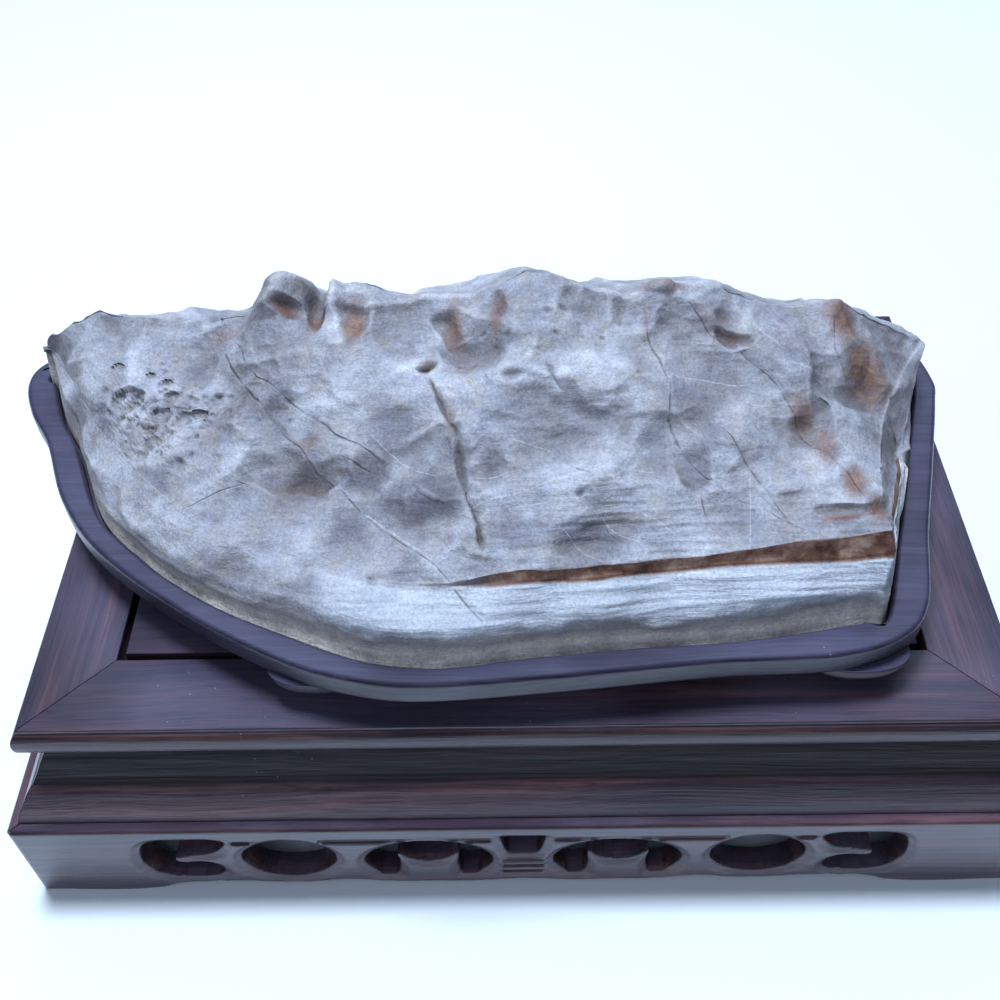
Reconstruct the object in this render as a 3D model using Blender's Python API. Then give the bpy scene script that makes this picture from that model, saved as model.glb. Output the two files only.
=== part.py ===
"""Scholar's rock in a fitted wooden seat, on a low mitred display stand.

Places are measured in millimetres from the stand: x from its middle, y back from its front face,
z up from the table. to_part() moves them to the part's origin, the middle of the whole piece's base.
"""

import math

import bmesh
import bpy
import numpy as np
from mathutils import Vector
from mathutils.geometry import tessellate_polygon

# The stand, in millimetres
STAND_LENGTH = 300.0
STAND_DEPTH = 195.0
STAND_HEIGHT = 74.8
APRON_HEIGHT = 37.7
APRON_THICK = 9.0
FOOT_LENGTH = 35.0
MOULDING_LIP = 1.3
SLAB_UNDERSIDE = 64.0
SLAB_INSET = 11.3
RAIL_WIDTH = 23.4
PANEL_THICK = 7.0
PANEL_GROOVE = 2.0
REBATE_WIDTH = 6.0
WAIST_BACK = 22.0
# The sloping hollow under the slab and the swelling moulding under it: distances in and heights
WAIST_HOLLOW = ((16.6, 63.7), (14.8, 60.0), (13.0, 56.6), (11.5, 53.4), (10.2, 50.8), (9.4, 49.4))
WAIST_SWELL = ((8.6, 48.9), (7.1, 47.0), (5.6, 44.5), (4.3, 41.8), (3.4, 39.4), (3.0, 38.0))
GAP = 0.3
MITRE_GAP = 0.22
SIDES = ("front", "right", "back", "left")

# The scalloped lower edge of the aprons: distance from the board's middle, or from the end of the foot,
# and height
LONG_UNDER_EDGE = (
    (0.0, 3.8), (7.0, 3.3), (15.0, 2.6), (28.0, 2.7), (42.0, 3.0), (50.0, 4.3), (56.0, 4.5), (63.0, 3.4),
    (70.5, 3.0), (78.0, 3.4), (86.0, 4.3), (93.0, 4.3), (101.0, 3.7),
)
SHORT_UNDER_EDGE = ((0.0, 3.0), (14.0, 3.0), (22.0, 4.3), (30.0, 4.4), (38.0, 3.8), (48.5, 3.7))
FOOT_EDGE = ((0.0, 0.0), (3.5, 0.7), (7.0, 2.6), (10.5, 3.5))

# The seat, in millimetres
SEAT_TOP = 93.8
SEAT_BAND = 9.3
SEAT_FLOOR = 87.5
SEAT_PLAY = 1.2
RIM_ROUND = 1.3
RECESS_ROUND = 0.4
SEAT_FEET = ((-55.5, 26.0), (95.0, 31.0), (-106.0, 142.0), (100.0, 144.0))
SEAT_FOOT_SIZE = (13.0, 7.5)
# A foot's profile: height, and share of its full size
SEAT_FOOT_PROFILE = (
    (86.0, 1.0), (83.5, 1.0), (80.5, 0.93), (77.8, 0.76), (75.9, 0.58), (STAND_HEIGHT + GAP, 0.46),
)
# The seat's under edge: distance in from the outline, and height above its underside
SEAT_UNDER_EDGE = ((3.5, 0.0), (0.8, 0.6), (0.0, 2.4))
LOOP_POINTS = 120

# The seat's outline seen from above, anticlockwise from its left end
SEAT_OUTLINE = (
    (-161.0, 133.0), (-156.5, 119.0), (-147.5, 104.0), (-137.0, 80.0), (-121.0, 59.0), (-93.0, 37.0),
    (-64.0, 20.5), (-44.0, 14.0), (-25.0, 12.0), (10.0, 14.5), (53.0, 18.5), (84.0, 20.0),
    (102.0, 25.5), (112.0, 37.0), (118.5, 63.0), (127.0, 92.0), (134.0, 117.0), (135.8, 128.0),
    (131.5, 144.0), (118.0, 153.0), (80.0, 157.5), (20.0, 158.0), (-50.0, 156.0), (-110.0, 153.0),
    (-142.0, 150.0), (-157.0, 143.0),
)

# The stone, in millimetres: curves from left to right
STONE_BASE = SEAT_FLOOR + GAP
STONE_FRONT = (
    (-151.5, 133.0), (-145.5, 117.0), (-138.0, 104.0), (-126.0, 77.0), (-109.0, 58.0), (-88.0, 42.0),
    (-63.0, 29.5), (-40.0, 20.5), (-25.0, 18.5), (3.0, 21.0), (30.0, 23.0), (60.0, 24.5), (94.5, 30.0),
)
STONE_BACK = (
    (-148.0, 141.0), (-130.0, 144.0), (-95.0, 145.0), (-40.0, 148.0), (20.0, 150.0), (80.0, 149.0),
    (112.0, 146.0), (127.5, 139.0),
)
FOOT_TOP = (
    (-151.5, 106.0), (-138.0, 104.0), (-121.0, 101.0), (-104.0, 98.5), (-80.0, 100.0), (-62.0, 101.0),
    (-40.0, 102.5), (-20.0, 105.0), (10.0, 105.5), (40.0, 103.5), (60.0, 105.0), (80.0, 107.5), (94.0, 108.5),
)
LEDGE_BACK = (
    (-149.0, 132.0, 111.0), (-120.0, 88.0, 109.0), (-90.0, 58.0, 107.0), (-60.0, 44.0, 107.0),
    (-40.0, 37.0, 107.5), (-17.0, 33.5, 107.8), (10.0, 34.5, 108.0), (47.0, 37.5, 108.8), (97.0, 40.0, 109.8),
)
STEP_RISE = ((-60.0, 0.8), (-22.0, 1.0), (-8.0, 3.0), (20.0, 3.6), (60.0, 4.2), (78.0, 6.6), (96.0, 7.2))
RIDGE = (
    (-144.0, 131.0, 114.0), (-135.0, 130.0, 121.0), (-120.0, 126.0, 126.0), (-106.0, 121.0, 128.0),
    (-88.0, 117.5, 131.0), (-79.5, 118.0, 135.0), (-72.5, 116.5, 146.0), (-65.5, 115.0, 149.5),
    (-57.0, 114.5, 144.5), (-41.5, 113.5, 146.5), (-33.5, 112.0, 143.0), (-21.7, 110.0, 142.5),
    (-12.8, 110.0, 144.0), (-3.9, 109.0, 151.5), (3.4, 108.0, 156.0), (8.5, 107.7, 155.0),
    (17.0, 107.5, 150.5), (29.0, 106.5, 145.5), (40.5, 108.0, 147.0), (57.5, 110.5, 145.5),
    (75.5, 108.5, 141.0), (90.5, 112.0, 138.5), (109.0, 116.5, 128.5), (125.5, 124.0, 112.5),
)
BACK_TOP = ((-148.0, 101.0), (-110.0, 106.0), (-50.0, 112.0), (10.0, 118.0), (70.0, 112.0), (127.5, 102.0))

# Rows of the stone's grid along each stretch of its section: front wall, ledge, step, face, back, back wall
SECTION_ROWS = (2, 3, 4, 17, 7, 2)
STATIONS = 60
LEFT_CAP = (4.5, 2.5, 4)
RIGHT_CAP = (5.0, 7.0, 7)
RIGHT_LEAN = (0.75, 22.0)
RIGHT_SCOOP = 7.0
RIGHT_SCOOP_START = 0.82
# How far the walls lean in, how far the face and the back bow out, and how deep the step is undercut
FRONT_LEAN = 1.2
BACK_WALL_LEAN = 1.5
FACE_BOW = 2.5
BACK_BOW = (1.2, 1.5)
UNDERCUT_START = 1.2
UNDERCUT_MOST = 2.4
UNDERCUT_DROP = 0.3
# How high above the seat the relief starts, and over what height it grows
RELIEF_START = 3.0
RELIEF_GROWS = 7.0
SCARP_EDGE = 3.0

# The stone's hollows, in millimetres: middle x and y, long and short radius, turn in degrees, depth.
# A negative depth is a lump.
HOLLOWS = (
    (-68.5, 110.0, 9.0, 7.0, 0, -2.2), (-65.0, 106.5, 5.0, 2.6, 0, 2.6), (-52.5, 109.5, 4.2, 6.0, 0, -2.4),
    (-12.0, 88.0, 15.0, 5.0, 5, 1.8), (-25.0, 90.0, 4.0, 3.0, -20, 3.0), (59.0, 101.0, 10.0, 5.5, -40, 3.6),
    (101.0, 102.0, 13.0, 8.0, -50, 4.6), (76.5, 80.0, 5.0, 4.0, 0, 3.0), (-62.5, 66.5, 11.0, 6.0, 12, 2.4),
    (-106.0, 69.5, 20.0, 7.5, -35, 3.0), (87.0, 50.5, 9.0, 2.6, 2, 2.2), (96.0, 56.0, 5.0, 6.0, 0, 2.6),
    (46.5, 61.0, 5.5, 7.0, 20, 2.0), (26.0, 53.0, 20.0, 6.0, 0, 1.6), (-115.0, 98.0, 5.5, 3.4, 10, 4.2),
    (-104.0, 92.0, 9.0, 3.2, -8, 2.0), (-90.0, 88.5, 5.0, 3.0, 0, 2.4), (-86.5, 94.0, 3.6, 3.0, 0, 2.0),
    (-114.0, 88.5, 5.0, 3.0, 0, 1.8), (-33.0, 71.0, 13.0, 9.0, 30, 1.8), (-15.0, 68.0, 7.0, 6.0, 0, -1.6),
    (8.0, 63.0, 17.0, 7.0, 5, 1.4), (20.0, 82.0, 16.0, 9.0, 0, -1.8), (52.0, 78.0, 11.0, 10.0, 0, 1.8),
    (-46.0, 82.0, 13.0, 13.0, 0, -2.0), (-74.0, 98.0, 9.0, 14.0, 35, 1.5), (83.0, 93.0, 12.0, 9.0, -30, 1.6),
    (-128.0, 112.0, 9.0, 13.0, 0, -1.5), (9.5, 82.0, 2.6, 4.0, 0, 1.6), (41.0, 109.0, 5.0, 3.5, 0, -1.6),
)
# The stone's troughs: half width, depth, and the points along them
TROUGHS = (
    (2.4, 2.2, ((-58.5, 112.0), (-56.0, 101.0))), (3.6, 2.8, ((-47.0, 112.0), (-44.0, 104.0), (-46.0, 95.0))),
    (2.8, 2.0, ((-20.5, 109.0), (-16.0, 100.0), (-9.0, 81.0))),
    (3.4, 2.4, ((-9.0, 105.0), (-3.0, 91.0), (4.0, 83.0))),
    (2.3, 3.6, ((-24.5, 85.5), (-20.0, 74.0), (-16.5, 61.0))),
    (1.8, 2.0, ((-16.5, 61.0), (-13.5, 51.0), (-10.5, 41.0))),
    (1.9, 1.8, ((34.0, 106.0), (37.0, 93.0), (42.0, 80.0), (46.0, 63.0))),
    (4.6, 3.4, ((77.0, 80.0), (86.0, 69.0), (98.0, 53.0))),
    (3.5, 1.3, ((-131.0, 119.0), (-110.0, 118.0), (-91.0, 115.5))),
    (2.0, 1.8, ((-88.0, 115.0), (-81.0, 107.0), (-66.0, 84.0), (-50.5, 63.5))),
    (1.6, 1.2, ((-50.5, 63.5), (-32.0, 44.0), (-17.0, 34.0), (-6.0, 21.0))),
)
# Where one bed of the stone breaks down to a lower one on its right: drop, fade, and the points along it
SCARPS = (
    (2.6, 16.0, ((-84.0, 112.0), (-66.0, 84.0), (-50.5, 63.5), (-30.0, 42.0))),
    (2.4, 18.0, ((50.0, 105.0), (61.0, 94.0), (76.0, 80.0), (94.0, 55.0))),
    (1.8, 9.0, ((90.0, 112.0), (95.0, 98.0), (108.0, 90.0))),
    (2.2, 12.0, ((-72.0, 78.0), (-104.0, 91.0), (-129.0, 101.0))),
    (1.5, 12.0, ((3.0, 84.0), (-26.0, 87.0), (-44.0, 78.0))),
)
RELIEF_LEAN = (0.0, -0.45, 0.89)
BACK_LEAN = (0.0, 0.8, 0.3)
# Long waves over the face: length across, length back, where in its cycle each starts, and height
WAVES = ((57.0, 31.0, 0.4, 0.9), (-33.0, 41.0, 1.9, 0.6), (24.0, -26.0, 3.1, 0.4))
# The back's beds: height at the left end, height at the right end, and how far each stands out
BACK_BEDS = ((98.0, 103.0, 0.9), (107.0, 112.0, -1.3), (117.0, 121.0, 1.1), (131.0, 129.0, -0.9))
# The back's upright lumps: middle, half width and how far each stands out
BACK_LUMPS = (
    (-98.0, 15.0, 2.2), (-62.0, 11.0, -2.4), (-24.0, 16.0, 2.0), (9.0, 10.0, -2.6), (46.0, 18.0, 2.4),
    (84.0, 12.0, -2.2),
)

WOOD = (0.055, 0.032, 0.036)
SEAT_WOOD = (0.045, 0.036, 0.055)
STONE_GREY = (0.43, 0.42, 0.46)


def read_curve(points, places):
    """A smooth curve through points, read at the given places along its first number."""
    points = np.array(points)
    x = points[:, 0]
    step = np.diff(x)[:, None]
    slopes = np.diff(points, axis=0) / step
    inner = (slopes[1:] * step[:-1] + slopes[:-1] * step[1:]) / (step[1:] + step[:-1])
    tangents = np.vstack((slopes[:1], inner, slopes[-1:]))
    spot = np.clip(np.searchsorted(x, places) - 1, 0, len(x) - 2)
    width = step[spot]
    t = (np.clip(places, x[0], x[-1])[:, None] - x[spot][:, None]) / width
    low, high = points[spot], points[spot + 1]
    return (
        (2 * t**3 - 3 * t**2 + 1) * low + (t**3 - 2 * t**2 + t) * width * tangents[spot]
        + (3 * t**2 - 2 * t**3) * high + (t**3 - t**2) * width * tangents[spot + 1]
    )


def closed_curve(points, count):
    """A closed curve through points, rounded between them, as count points at even spacing."""
    points = np.array(points)
    fine = np.linspace(0, 1, 24, endpoint=False)[:, None]
    before = np.roll(points, 1, axis=0)
    after = np.roll(points, -1, axis=0)
    later = np.roll(points, -2, axis=0)
    parts = [
        b + 0.5 * ((c - a) * fine + (2 * a - 5 * b + 4 * c - d) * fine**2 + (3 * b - a - 3 * c + d) * fine**3)
        for a, b, c, d in zip(before, points, after, later)
    ]
    return even_points(np.vstack(parts), count)


def even_points(loop, count):
    """The same closed loop as count points at even spacing."""
    ring = np.vstack((loop, loop[:1]))
    along = np.concatenate(([0.0], np.cumsum(np.linalg.norm(np.diff(ring, axis=0), axis=1))))
    places = np.linspace(0, along[-1], count, endpoint=False)
    return np.column_stack([np.interp(places, along, ring[:, axis]) for axis in range(ring.shape[1])])


def grow_loop(loop, distance):
    """The loop, anticlockwise from above, moved outwards by distance."""
    run = np.roll(loop, -1, axis=0) - np.roll(loop, 1, axis=0)
    outward = np.column_stack((run[:, 1], -run[:, 0])) / np.linalg.norm(run, axis=1)[:, None]
    return loop + outward * distance


SEAT_LOOP = closed_curve(SEAT_OUTLINE, LOOP_POINTS)
ORIGIN_X = (SEAT_LOOP[:, 0].min() + STAND_LENGTH / 2) / 2
ORIGIN_Y = STAND_DEPTH / 2


def to_part(points):
    """Millimetres measured from the stand, as metres from the part's origin."""
    return (np.asarray(points, dtype=float) - (ORIGIN_X, ORIGIN_Y, 0.0)) / 1000.0


def stone_section(u, row):
    """The stone's surface where fractions u of its length meet rows of its section.

    A row's whole number is its stretch, from the front wall to the back wall, and the rest is how far
    along that stretch the row lies. Each stretch is a straight or bowed line between two long curves.
    """
    long_curves = (STONE_FRONT, LEDGE_BACK, RIDGE, STONE_BACK)
    spread = [curve[0][0] + u * (curve[-1][0] - curve[0][0]) for curve in long_curves]
    front = read_curve(STONE_FRONT, spread[0])
    ledge = read_curve(LEDGE_BACK, spread[1])
    ridge = read_curve(RIDGE, spread[2])
    back = read_curve(STONE_BACK, spread[3])
    foot_top = read_curve(FOOT_TOP, spread[0])[:, 1]
    back_top = read_curve(BACK_TOP, spread[3])[:, 1]
    rise = read_curve(STEP_RISE, spread[1])[:, 1]
    base = np.full_like(u, STONE_BASE)
    knots = np.array([
        np.column_stack((front, base)),
        np.column_stack((front[:, 0], front[:, 1] + FRONT_LEAN, foot_top)),
        ledge,
        ledge + np.column_stack((0 * rise, 0.4 * rise, rise)),
        ridge,
        np.column_stack((back[:, 0], back[:, 1] - BACK_WALL_LEAN, back_top)),
        np.column_stack((back, base)),
    ])
    stretch = np.minimum(row.astype(int), 5)
    t = (row - stretch)[:, None, None]
    place = knots[stretch] * (1 - t) + knots[stretch + 1] * t
    kind = stretch[:, None]
    t = t[:, :, 0]
    undercut = np.sin(math.pi * np.sqrt(t)) * np.clip(rise - UNDERCUT_START, 0, UNDERCUT_MOST)
    undercut = np.where(kind == 2, undercut, 0)
    bow = 4 * t * (1 - t)
    near_end = np.clip((u - RIGHT_SCOOP_START) / (1 - RIGHT_SCOOP_START), 0, 1) ** 2
    place[:, :, 0] -= np.where(kind == 3, RIGHT_SCOOP * bow * near_end, 0)
    place[:, :, 1] += undercut + np.where(kind == 4, BACK_BOW[0] * bow, 0)
    place[:, :, 2] += np.where(kind == 3, FACE_BOW * bow, 0) + np.where(kind == 4, BACK_BOW[1] * bow, 0)
    place[:, :, 2] -= UNDERCUT_DROP * undercut
    return place


def stone_cap(section, outward, depth, power, columns, lean=(0.0, 1.0)):
    """Columns that close an end: the section drawn in to its middle while it swells outwards.

    lean takes its first value's share of the swell away over its second value's height.
    """
    middle = (section.min(axis=0) + section.max(axis=0)) / 2
    drawn = np.linspace(0, 1, columns + 1)[1:-1, None, None] ** 2
    upright = 1 - lean[0] * np.clip((section[:, 2:] - SEAT_TOP) / lean[1], 0, 1)
    swell = depth * (1 - (1 - drawn) ** power) ** (1 / power) * upright
    return middle + (section - middle) * (1 - drawn) + np.array(outward) * swell


def stone_grid():
    """Rings of the stone from its left end to its right end, each a closed section, before its relief."""
    rows = np.concatenate([k + np.arange(n) / n for k, n in enumerate(SECTION_ROWS)] + [[6.0]])
    body = stone_section(np.linspace(0, 1, STATIONS), rows).transpose(1, 0, 2)
    left = stone_cap(body[0], (-0.97, 0.24, 0.0), *LEFT_CAP)[::-1]
    right = stone_cap(body[-1], (0.95, -0.31, 0.0), *RIGHT_CAP, RIGHT_LEAN)
    return np.concatenate((left, body, right))


def path_distance(x, y, path):
    """Distance from each place to a path of straight runs, and the side it lies on, above 0 on the right."""
    nearest = np.full_like(x, 1e6)
    side = np.zeros_like(x)
    for start, end in zip(np.array(path), np.array(path)[1:]):
        run = end - start
        t = np.clip(((x - start[0]) * run[0] + (y - start[1]) * run[1]) / (run @ run), 0, 1)
        gone = np.hypot(x - start[0] - t * run[0], y - start[1] - t * run[1])
        turn = (x - start[0]) * run[1] - (y - start[1]) * run[0]
        side = np.where(gone < nearest, np.sign(turn), side)
        nearest = np.minimum(gone, nearest)
    return nearest, side


def stone_relief(x, y):
    """Height of the stone's lumps, hollows, troughs, broken beds and waves at places seen from above."""
    height = np.zeros_like(x)
    for middle_x, middle_y, long, short, turn, depth in HOLLOWS:
        c, s = math.cos(math.radians(turn)), math.sin(math.radians(turn))
        across = ((x - middle_x) * c + (y - middle_y) * s) / long
        along = ((y - middle_y) * c - (x - middle_x) * s) / short
        height -= depth * np.clip(1 - across**2 - along**2, 0, 1) ** 1.5
    for half_width, depth, path in TROUGHS:
        gone, _ = path_distance(x, y, path)
        height -= depth * np.exp(-((gone / half_width) ** 2))
    for drop, fade, path in SCARPS:
        gone, side = path_distance(x, y, path)
        height -= drop * np.exp(-gone / fade) * np.clip(0.5 + side * gone / SCARP_EDGE, 0, 1)
    for long_x, long_y, start, size in WAVES:
        height += size * np.sin(2 * math.pi * (x / long_x + y / long_y) + start)
    return height


def back_relief(x, z):
    """How far the stone's back stands out: beds that step in and out, and upright lumps and hollows."""
    share = np.clip((x - RIDGE[0][0]) / (RIDGE[-1][0] - RIDGE[0][0]), 0, 1)
    out = np.zeros_like(x)
    for left, right, size in BACK_BEDS:
        out += size * np.tanh((z - left - (right - left) * share - 2.0 * np.sin(x / 13.0)) / 1.5)
    for middle, width, size in BACK_LUMPS:
        out += size * np.exp(-(((x - middle - 0.5 * (z - 110.0)) / width) ** 2))
    return out


def carve(grid):
    """The stone's rings with their relief, which fades out above the seat."""
    x, y, z = grid[:, :, 0], grid[:, :, 1], grid[:, :, 2]
    clear = np.clip((z - SEAT_TOP - RELIEF_START) / RELIEF_GROWS, 0, 1)
    behind = np.clip((y - read_curve(RIDGE, x.ravel())[:, 1].reshape(x.shape) - 3.0) / 9.0, 0, 1)
    face = (stone_relief(x, y) * clear * (1 - behind))[:, :, None] * np.array(RELIEF_LEAN)
    back = (back_relief(x, z) * clear * behind)[:, :, None] * np.array(BACK_LEAN)
    return grid + face + back


def ring_mesh(name, rings):
    """A closed mesh of quads between rings of points, with the first and last ring filled."""
    mesh = bmesh.new()
    rows = [[mesh.verts.new(point) for point in ring] for ring in to_part(rings)]
    for low, high in zip(rows, rows[1:]):
        for i, j in zip(range(len(low)), [*range(1, len(low)), 0]):
            mesh.faces.new((low[i], low[j], high[j], high[i]))
    mesh.faces.new(rows[0][::-1])
    mesh.faces.new(rows[-1])
    return add_object(name, mesh)


def add_object(name, mesh):
    """Puts a closed bmesh in the scene as a named object, its faces pointing out."""
    bmesh.ops.recalc_face_normals(mesh, faces=mesh.faces)
    data = bpy.data.meshes.new(name)
    mesh.to_mesh(data)
    mesh.free()
    piece = bpy.data.objects.new(name, data)
    bpy.context.collection.objects.link(piece)
    return piece


def finish(piece, material):
    """Gives a piece its material and smooth shading between its sharp edges."""
    piece.data.materials.append(material)
    piece.data.shade_smooth()
    piece.data.set_sharp_from_angle(angle=math.radians(35))


def make_material(name, colour, roughness):
    """A plain Principled material."""
    material = bpy.data.materials.new(name)
    material.use_nodes = True
    shader = material.node_tree.nodes["Principled BSDF"]
    shader.inputs["Base Color"].default_value = (*colour, 1.0)
    shader.inputs["Roughness"].default_value = roughness
    shader.inputs["Metallic"].default_value = 0.0
    return material


def make_stone(material):
    """The natural stone: a long broken bed of layered rock, ridged along its back."""
    finish(ring_mesh("stone", carve(stone_grid())), material)


def seat_recess():
    """The outline of the stone's foot with the seat's play round it."""
    grid = stone_grid()
    outline = np.vstack((grid[:, 0, :2], grid[::-1, -1, :2]))
    return grow_loop(even_points(outline, len(SEAT_LOOP)), SEAT_PLAY)


def make_seat(material):
    """The seat: a rounded rim cut to the stone, a thin floor, and four small lobed feet, all one piece."""
    recess = seat_recess()
    bottom = SEAT_TOP - SEAT_BAND
    rings = [(grow_loop(SEAT_LOOP, -inwards), bottom + rise) for inwards, rise in SEAT_UNDER_EDGE]
    rings += [
        (SEAT_LOOP, SEAT_TOP - RIM_ROUND), (grow_loop(SEAT_LOOP, -RIM_ROUND), SEAT_TOP),
        (grow_loop(recess, RECESS_ROUND), SEAT_TOP), (recess, SEAT_TOP - RECESS_ROUND), (recess, SEAT_FLOOR),
    ]
    seat = ring_mesh("fitted_seat", [np.column_stack((loop, np.full(len(loop), z))) for loop, z in rings])
    for place in SEAT_FEET:
        foot = make_seat_foot(place)
        join = seat.modifiers.new("foot", "BOOLEAN")
        join.operation = "UNION"
        join.object = foot
    finish(seat, material)


def make_seat_foot(place):
    """A lobed foot, widest under the rim and rounded in to the face that stands on the panel."""
    turn = np.linspace(0, 2 * math.pi, 14, endpoint=False)
    lobe = np.column_stack((
        np.sign(np.cos(turn)) * np.abs(np.cos(turn)) ** 0.8 * SEAT_FOOT_SIZE[0],
        np.sign(np.sin(turn)) * np.abs(np.sin(turn)) ** 0.8 * SEAT_FOOT_SIZE[1],
    ))
    rings = [
        np.column_stack((lobe * share + np.array(place), np.full(len(lobe), z)))
        for z, share in SEAT_FOOT_PROFILE
    ]
    foot = ring_mesh("foot_shape", rings)
    foot.hide_render = True
    foot.display_type = "WIRE"
    return foot


def on_side(side, along, inset, z):
    """Places on one side of the stand: along it from its middle, in from its face, and up."""
    half_length, half_depth = STAND_LENGTH / 2, STAND_DEPTH / 2
    along, inset, z = np.broadcast_arrays(np.asarray(along, float), inset, z)
    x, y = {
        "front": (along, inset),
        "right": (half_length - inset, half_depth + along),
        "back": (-along, STAND_DEPTH - inset),
        "left": (inset - half_length, half_depth - along),
    }[side]
    return np.stack((x, y, z), axis=-1)


def half_run(side):
    """Half the length of a side of the stand."""
    return (STAND_LENGTH if side in ("front", "back") else STAND_DEPTH) / 2


def arc(middle, radii, start, end, count):
    """Points of an elliptic arc, in degrees."""
    turn = np.radians(np.linspace(start, end, count))
    return [(middle[0] + radii[0] * math.cos(a), middle[1] + radii[1] * math.sin(a)) for a in turn]


def make_mitred(name, side, section, material):
    """A length of moulding with mitred ends: section is its closed profile of insets and heights."""
    inset, z = np.array(section).T
    reach = half_run(side) - inset - MITRE_GAP
    rings = [on_side(side, -reach, inset, z), on_side(side, reach, inset, z)]
    finish(ring_mesh(name, rings), material)


def rail_section():
    """The top rail: a small lip, a rounded bead below it, and the rebate that carries the panel."""
    top = STAND_HEIGHT
    inner = SLAB_INSET + RAIL_WIDTH
    ledge = top - PANEL_THICK - GAP
    bead = arc((SLAB_INSET + 0.2, 69.0), (2.1, 4.3), 95, 255, 7)
    return [
        (inner, top), (SLAB_INSET, top), (SLAB_INSET, top - MOULDING_LIP), *bead,
        (SLAB_INSET + 2.5, SLAB_UNDERSIDE),
        (inner + REBATE_WIDTH, SLAB_UNDERSIDE), (inner + REBATE_WIDTH, ledge), (inner, ledge),
    ]


def waist_section():
    """The sloping hollow under the slab, and the moulding that swells out under it."""
    return [*WAIST_HOLLOW, *WAIST_SWELL, (WAIST_BACK, WAIST_SWELL[-1][1]), (WAIST_BACK, WAIST_HOLLOW[0][1])]


def scroll_opening(middle):
    """A hooked opening with a tongue of wood in it, its hollow end towards the foot."""
    toward = -1.0 if middle > 0 else 1.0
    shape = [
        (-13.5, 17.0), (-12.0, 26.0), (-8.0, 29.6), (0.0, 30.2), (9.0, 30.0), (13.0, 27.6), (9.5, 22.5),
        (2.0, 20.4), (-3.4, 18.2), (-2.0, 15.6), (5.0, 16.0), (9.4, 13.0), (9.8, 8.8), (6.0, 7.2),
        (-4.0, 7.2), (-11.0, 10.4),
    ]
    return [(middle + toward * a, z) for a, z in shape]


def oval_opening(middle):
    """A plain oval opening."""
    return arc((middle, 17.9), (14.2, 11.3), 0, 360, 17)[:-1]


def arch_opening(middle):
    """A wide arch over a horned mound of wood."""
    arch = arc((middle, 15.5), (19.3, 12.4), -20, 200, 13)
    mound = [(-15.0, 6.6), (-9.4, 6.8), (-8.6, 13.0), (-9.4, 20.5), (-4.5, 16.4), (0.0, 15.6)]
    mirrored = [(-a, z) for a, z in mound[-2::-1]]
    return [*arch, *[(middle + a, z) for a, z in mound + mirrored]]


def centre_opening(middle):
    """The small opening in the middle, wider at its top."""
    return [(middle - 7.0, 30.4), (middle - 5.0, 20.0), (middle + 5.0, 20.0), (middle + 7.0, 30.4)]


LONG_OPENINGS = (
    (scroll_opening, -101.5), (oval_opening, -70.5), (arch_opening, -28.5), (centre_opening, 0.0),
    (arch_opening, 28.5), (oval_opening, 70.5), (scroll_opening, 101.5),
)
SHORT_OPENINGS = ((scroll_opening, -48.0), (arch_opening, 0.0), (scroll_opening, 48.0))


def make_apron(side, material):
    """An openwork apron board with a corner foot at each end, cut in one piece."""
    half = half_run(side)
    long_side = side in ("front", "back")
    under = list(LONG_UNDER_EDGE if long_side else SHORT_UNDER_EDGE)
    under += [(half - FOOT_LENGTH - a, z) for a, z in FOOT_EDGE[::-1]]
    outer = [(-half, 0.0)] + [(-a, z) for a, z in under[:0:-1]] + under
    outer += [(half, 0.0), (half, APRON_HEIGHT), (-half, APRON_HEIGHT)]
    openings = LONG_OPENINGS if long_side else SHORT_OPENINGS
    loops = [outer] + [shape(middle) for shape, middle in openings]
    flat = [(a, z) for loop in loops for a, z in loop]
    triangles = tessellate_polygon([[Vector((a, z, 0.0)) for a, z in loop] for loop in loops])
    mesh = bmesh.new()
    faces = []
    for inset in (0.0, APRON_THICK):
        reach = half - inset - MITRE_GAP
        along = [np.clip(a, -reach, reach) for a, _ in flat]
        points = to_part(on_side(side, along, inset, [z for _, z in flat]))
        faces.append([mesh.verts.new(point) for point in points])
    for triangle in triangles:
        for face in faces:
            mesh.faces.new([face[i] for i in triangle])
    start = 0
    for loop in loops:
        ring = [*range(start, start + len(loop))]
        for i, j in zip(ring, ring[1:] + ring[:1]):
            mesh.faces.new((faces[0][i], faces[0][j], faces[1][j], faces[1][i]))
        start += len(loop)
    finish(add_object("apron_" + side, mesh), material)


def make_panel(material):
    """The floating panel, a groove in from the rails all round, its lower edge in their rebates."""
    edge = SLAB_INSET + RAIL_WIDTH + PANEL_GROOVE
    low = STAND_HEIGHT - PANEL_THICK
    rings = []
    for inset, z in ((edge, low), (edge, STAND_HEIGHT)):
        right, back = STAND_LENGTH / 2 - inset, STAND_DEPTH - inset
        rings.append([(-right, inset, z), (right, inset, z), (right, back, z), (-right, back, z)])
    finish(ring_mesh("top_panel", rings), material)


def make_stand(material):
    """The stand's panel, and the rail, waist and apron on each of its four sides."""
    make_panel(material)
    for side in SIDES:
        make_mitred("top_rail_" + side, side, rail_section(), material)
        make_mitred("waist_" + side, side, waist_section(), material)
        make_apron(side, material)


for old in list(bpy.data.objects):
    bpy.data.objects.remove(old)
make_stone(make_material("weathered limestone", STONE_GREY, 0.85))
make_seat(make_material("stained hardwood seat", SEAT_WOOD, 0.4))
make_stand(make_material("dark hardwood stand", WOOD, 0.42))
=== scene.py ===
"""Looks of the scholar's rock, its fitted seat and its display stand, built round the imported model.

Places are worked out in millimetres measured from the stand: x from its middle, y back from its front
face, z up from the table. place() moves them to the frame's metres.
"""

import math
from functools import partial

import bpy
import numpy as np
from mathutils import Matrix, Vector


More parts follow.
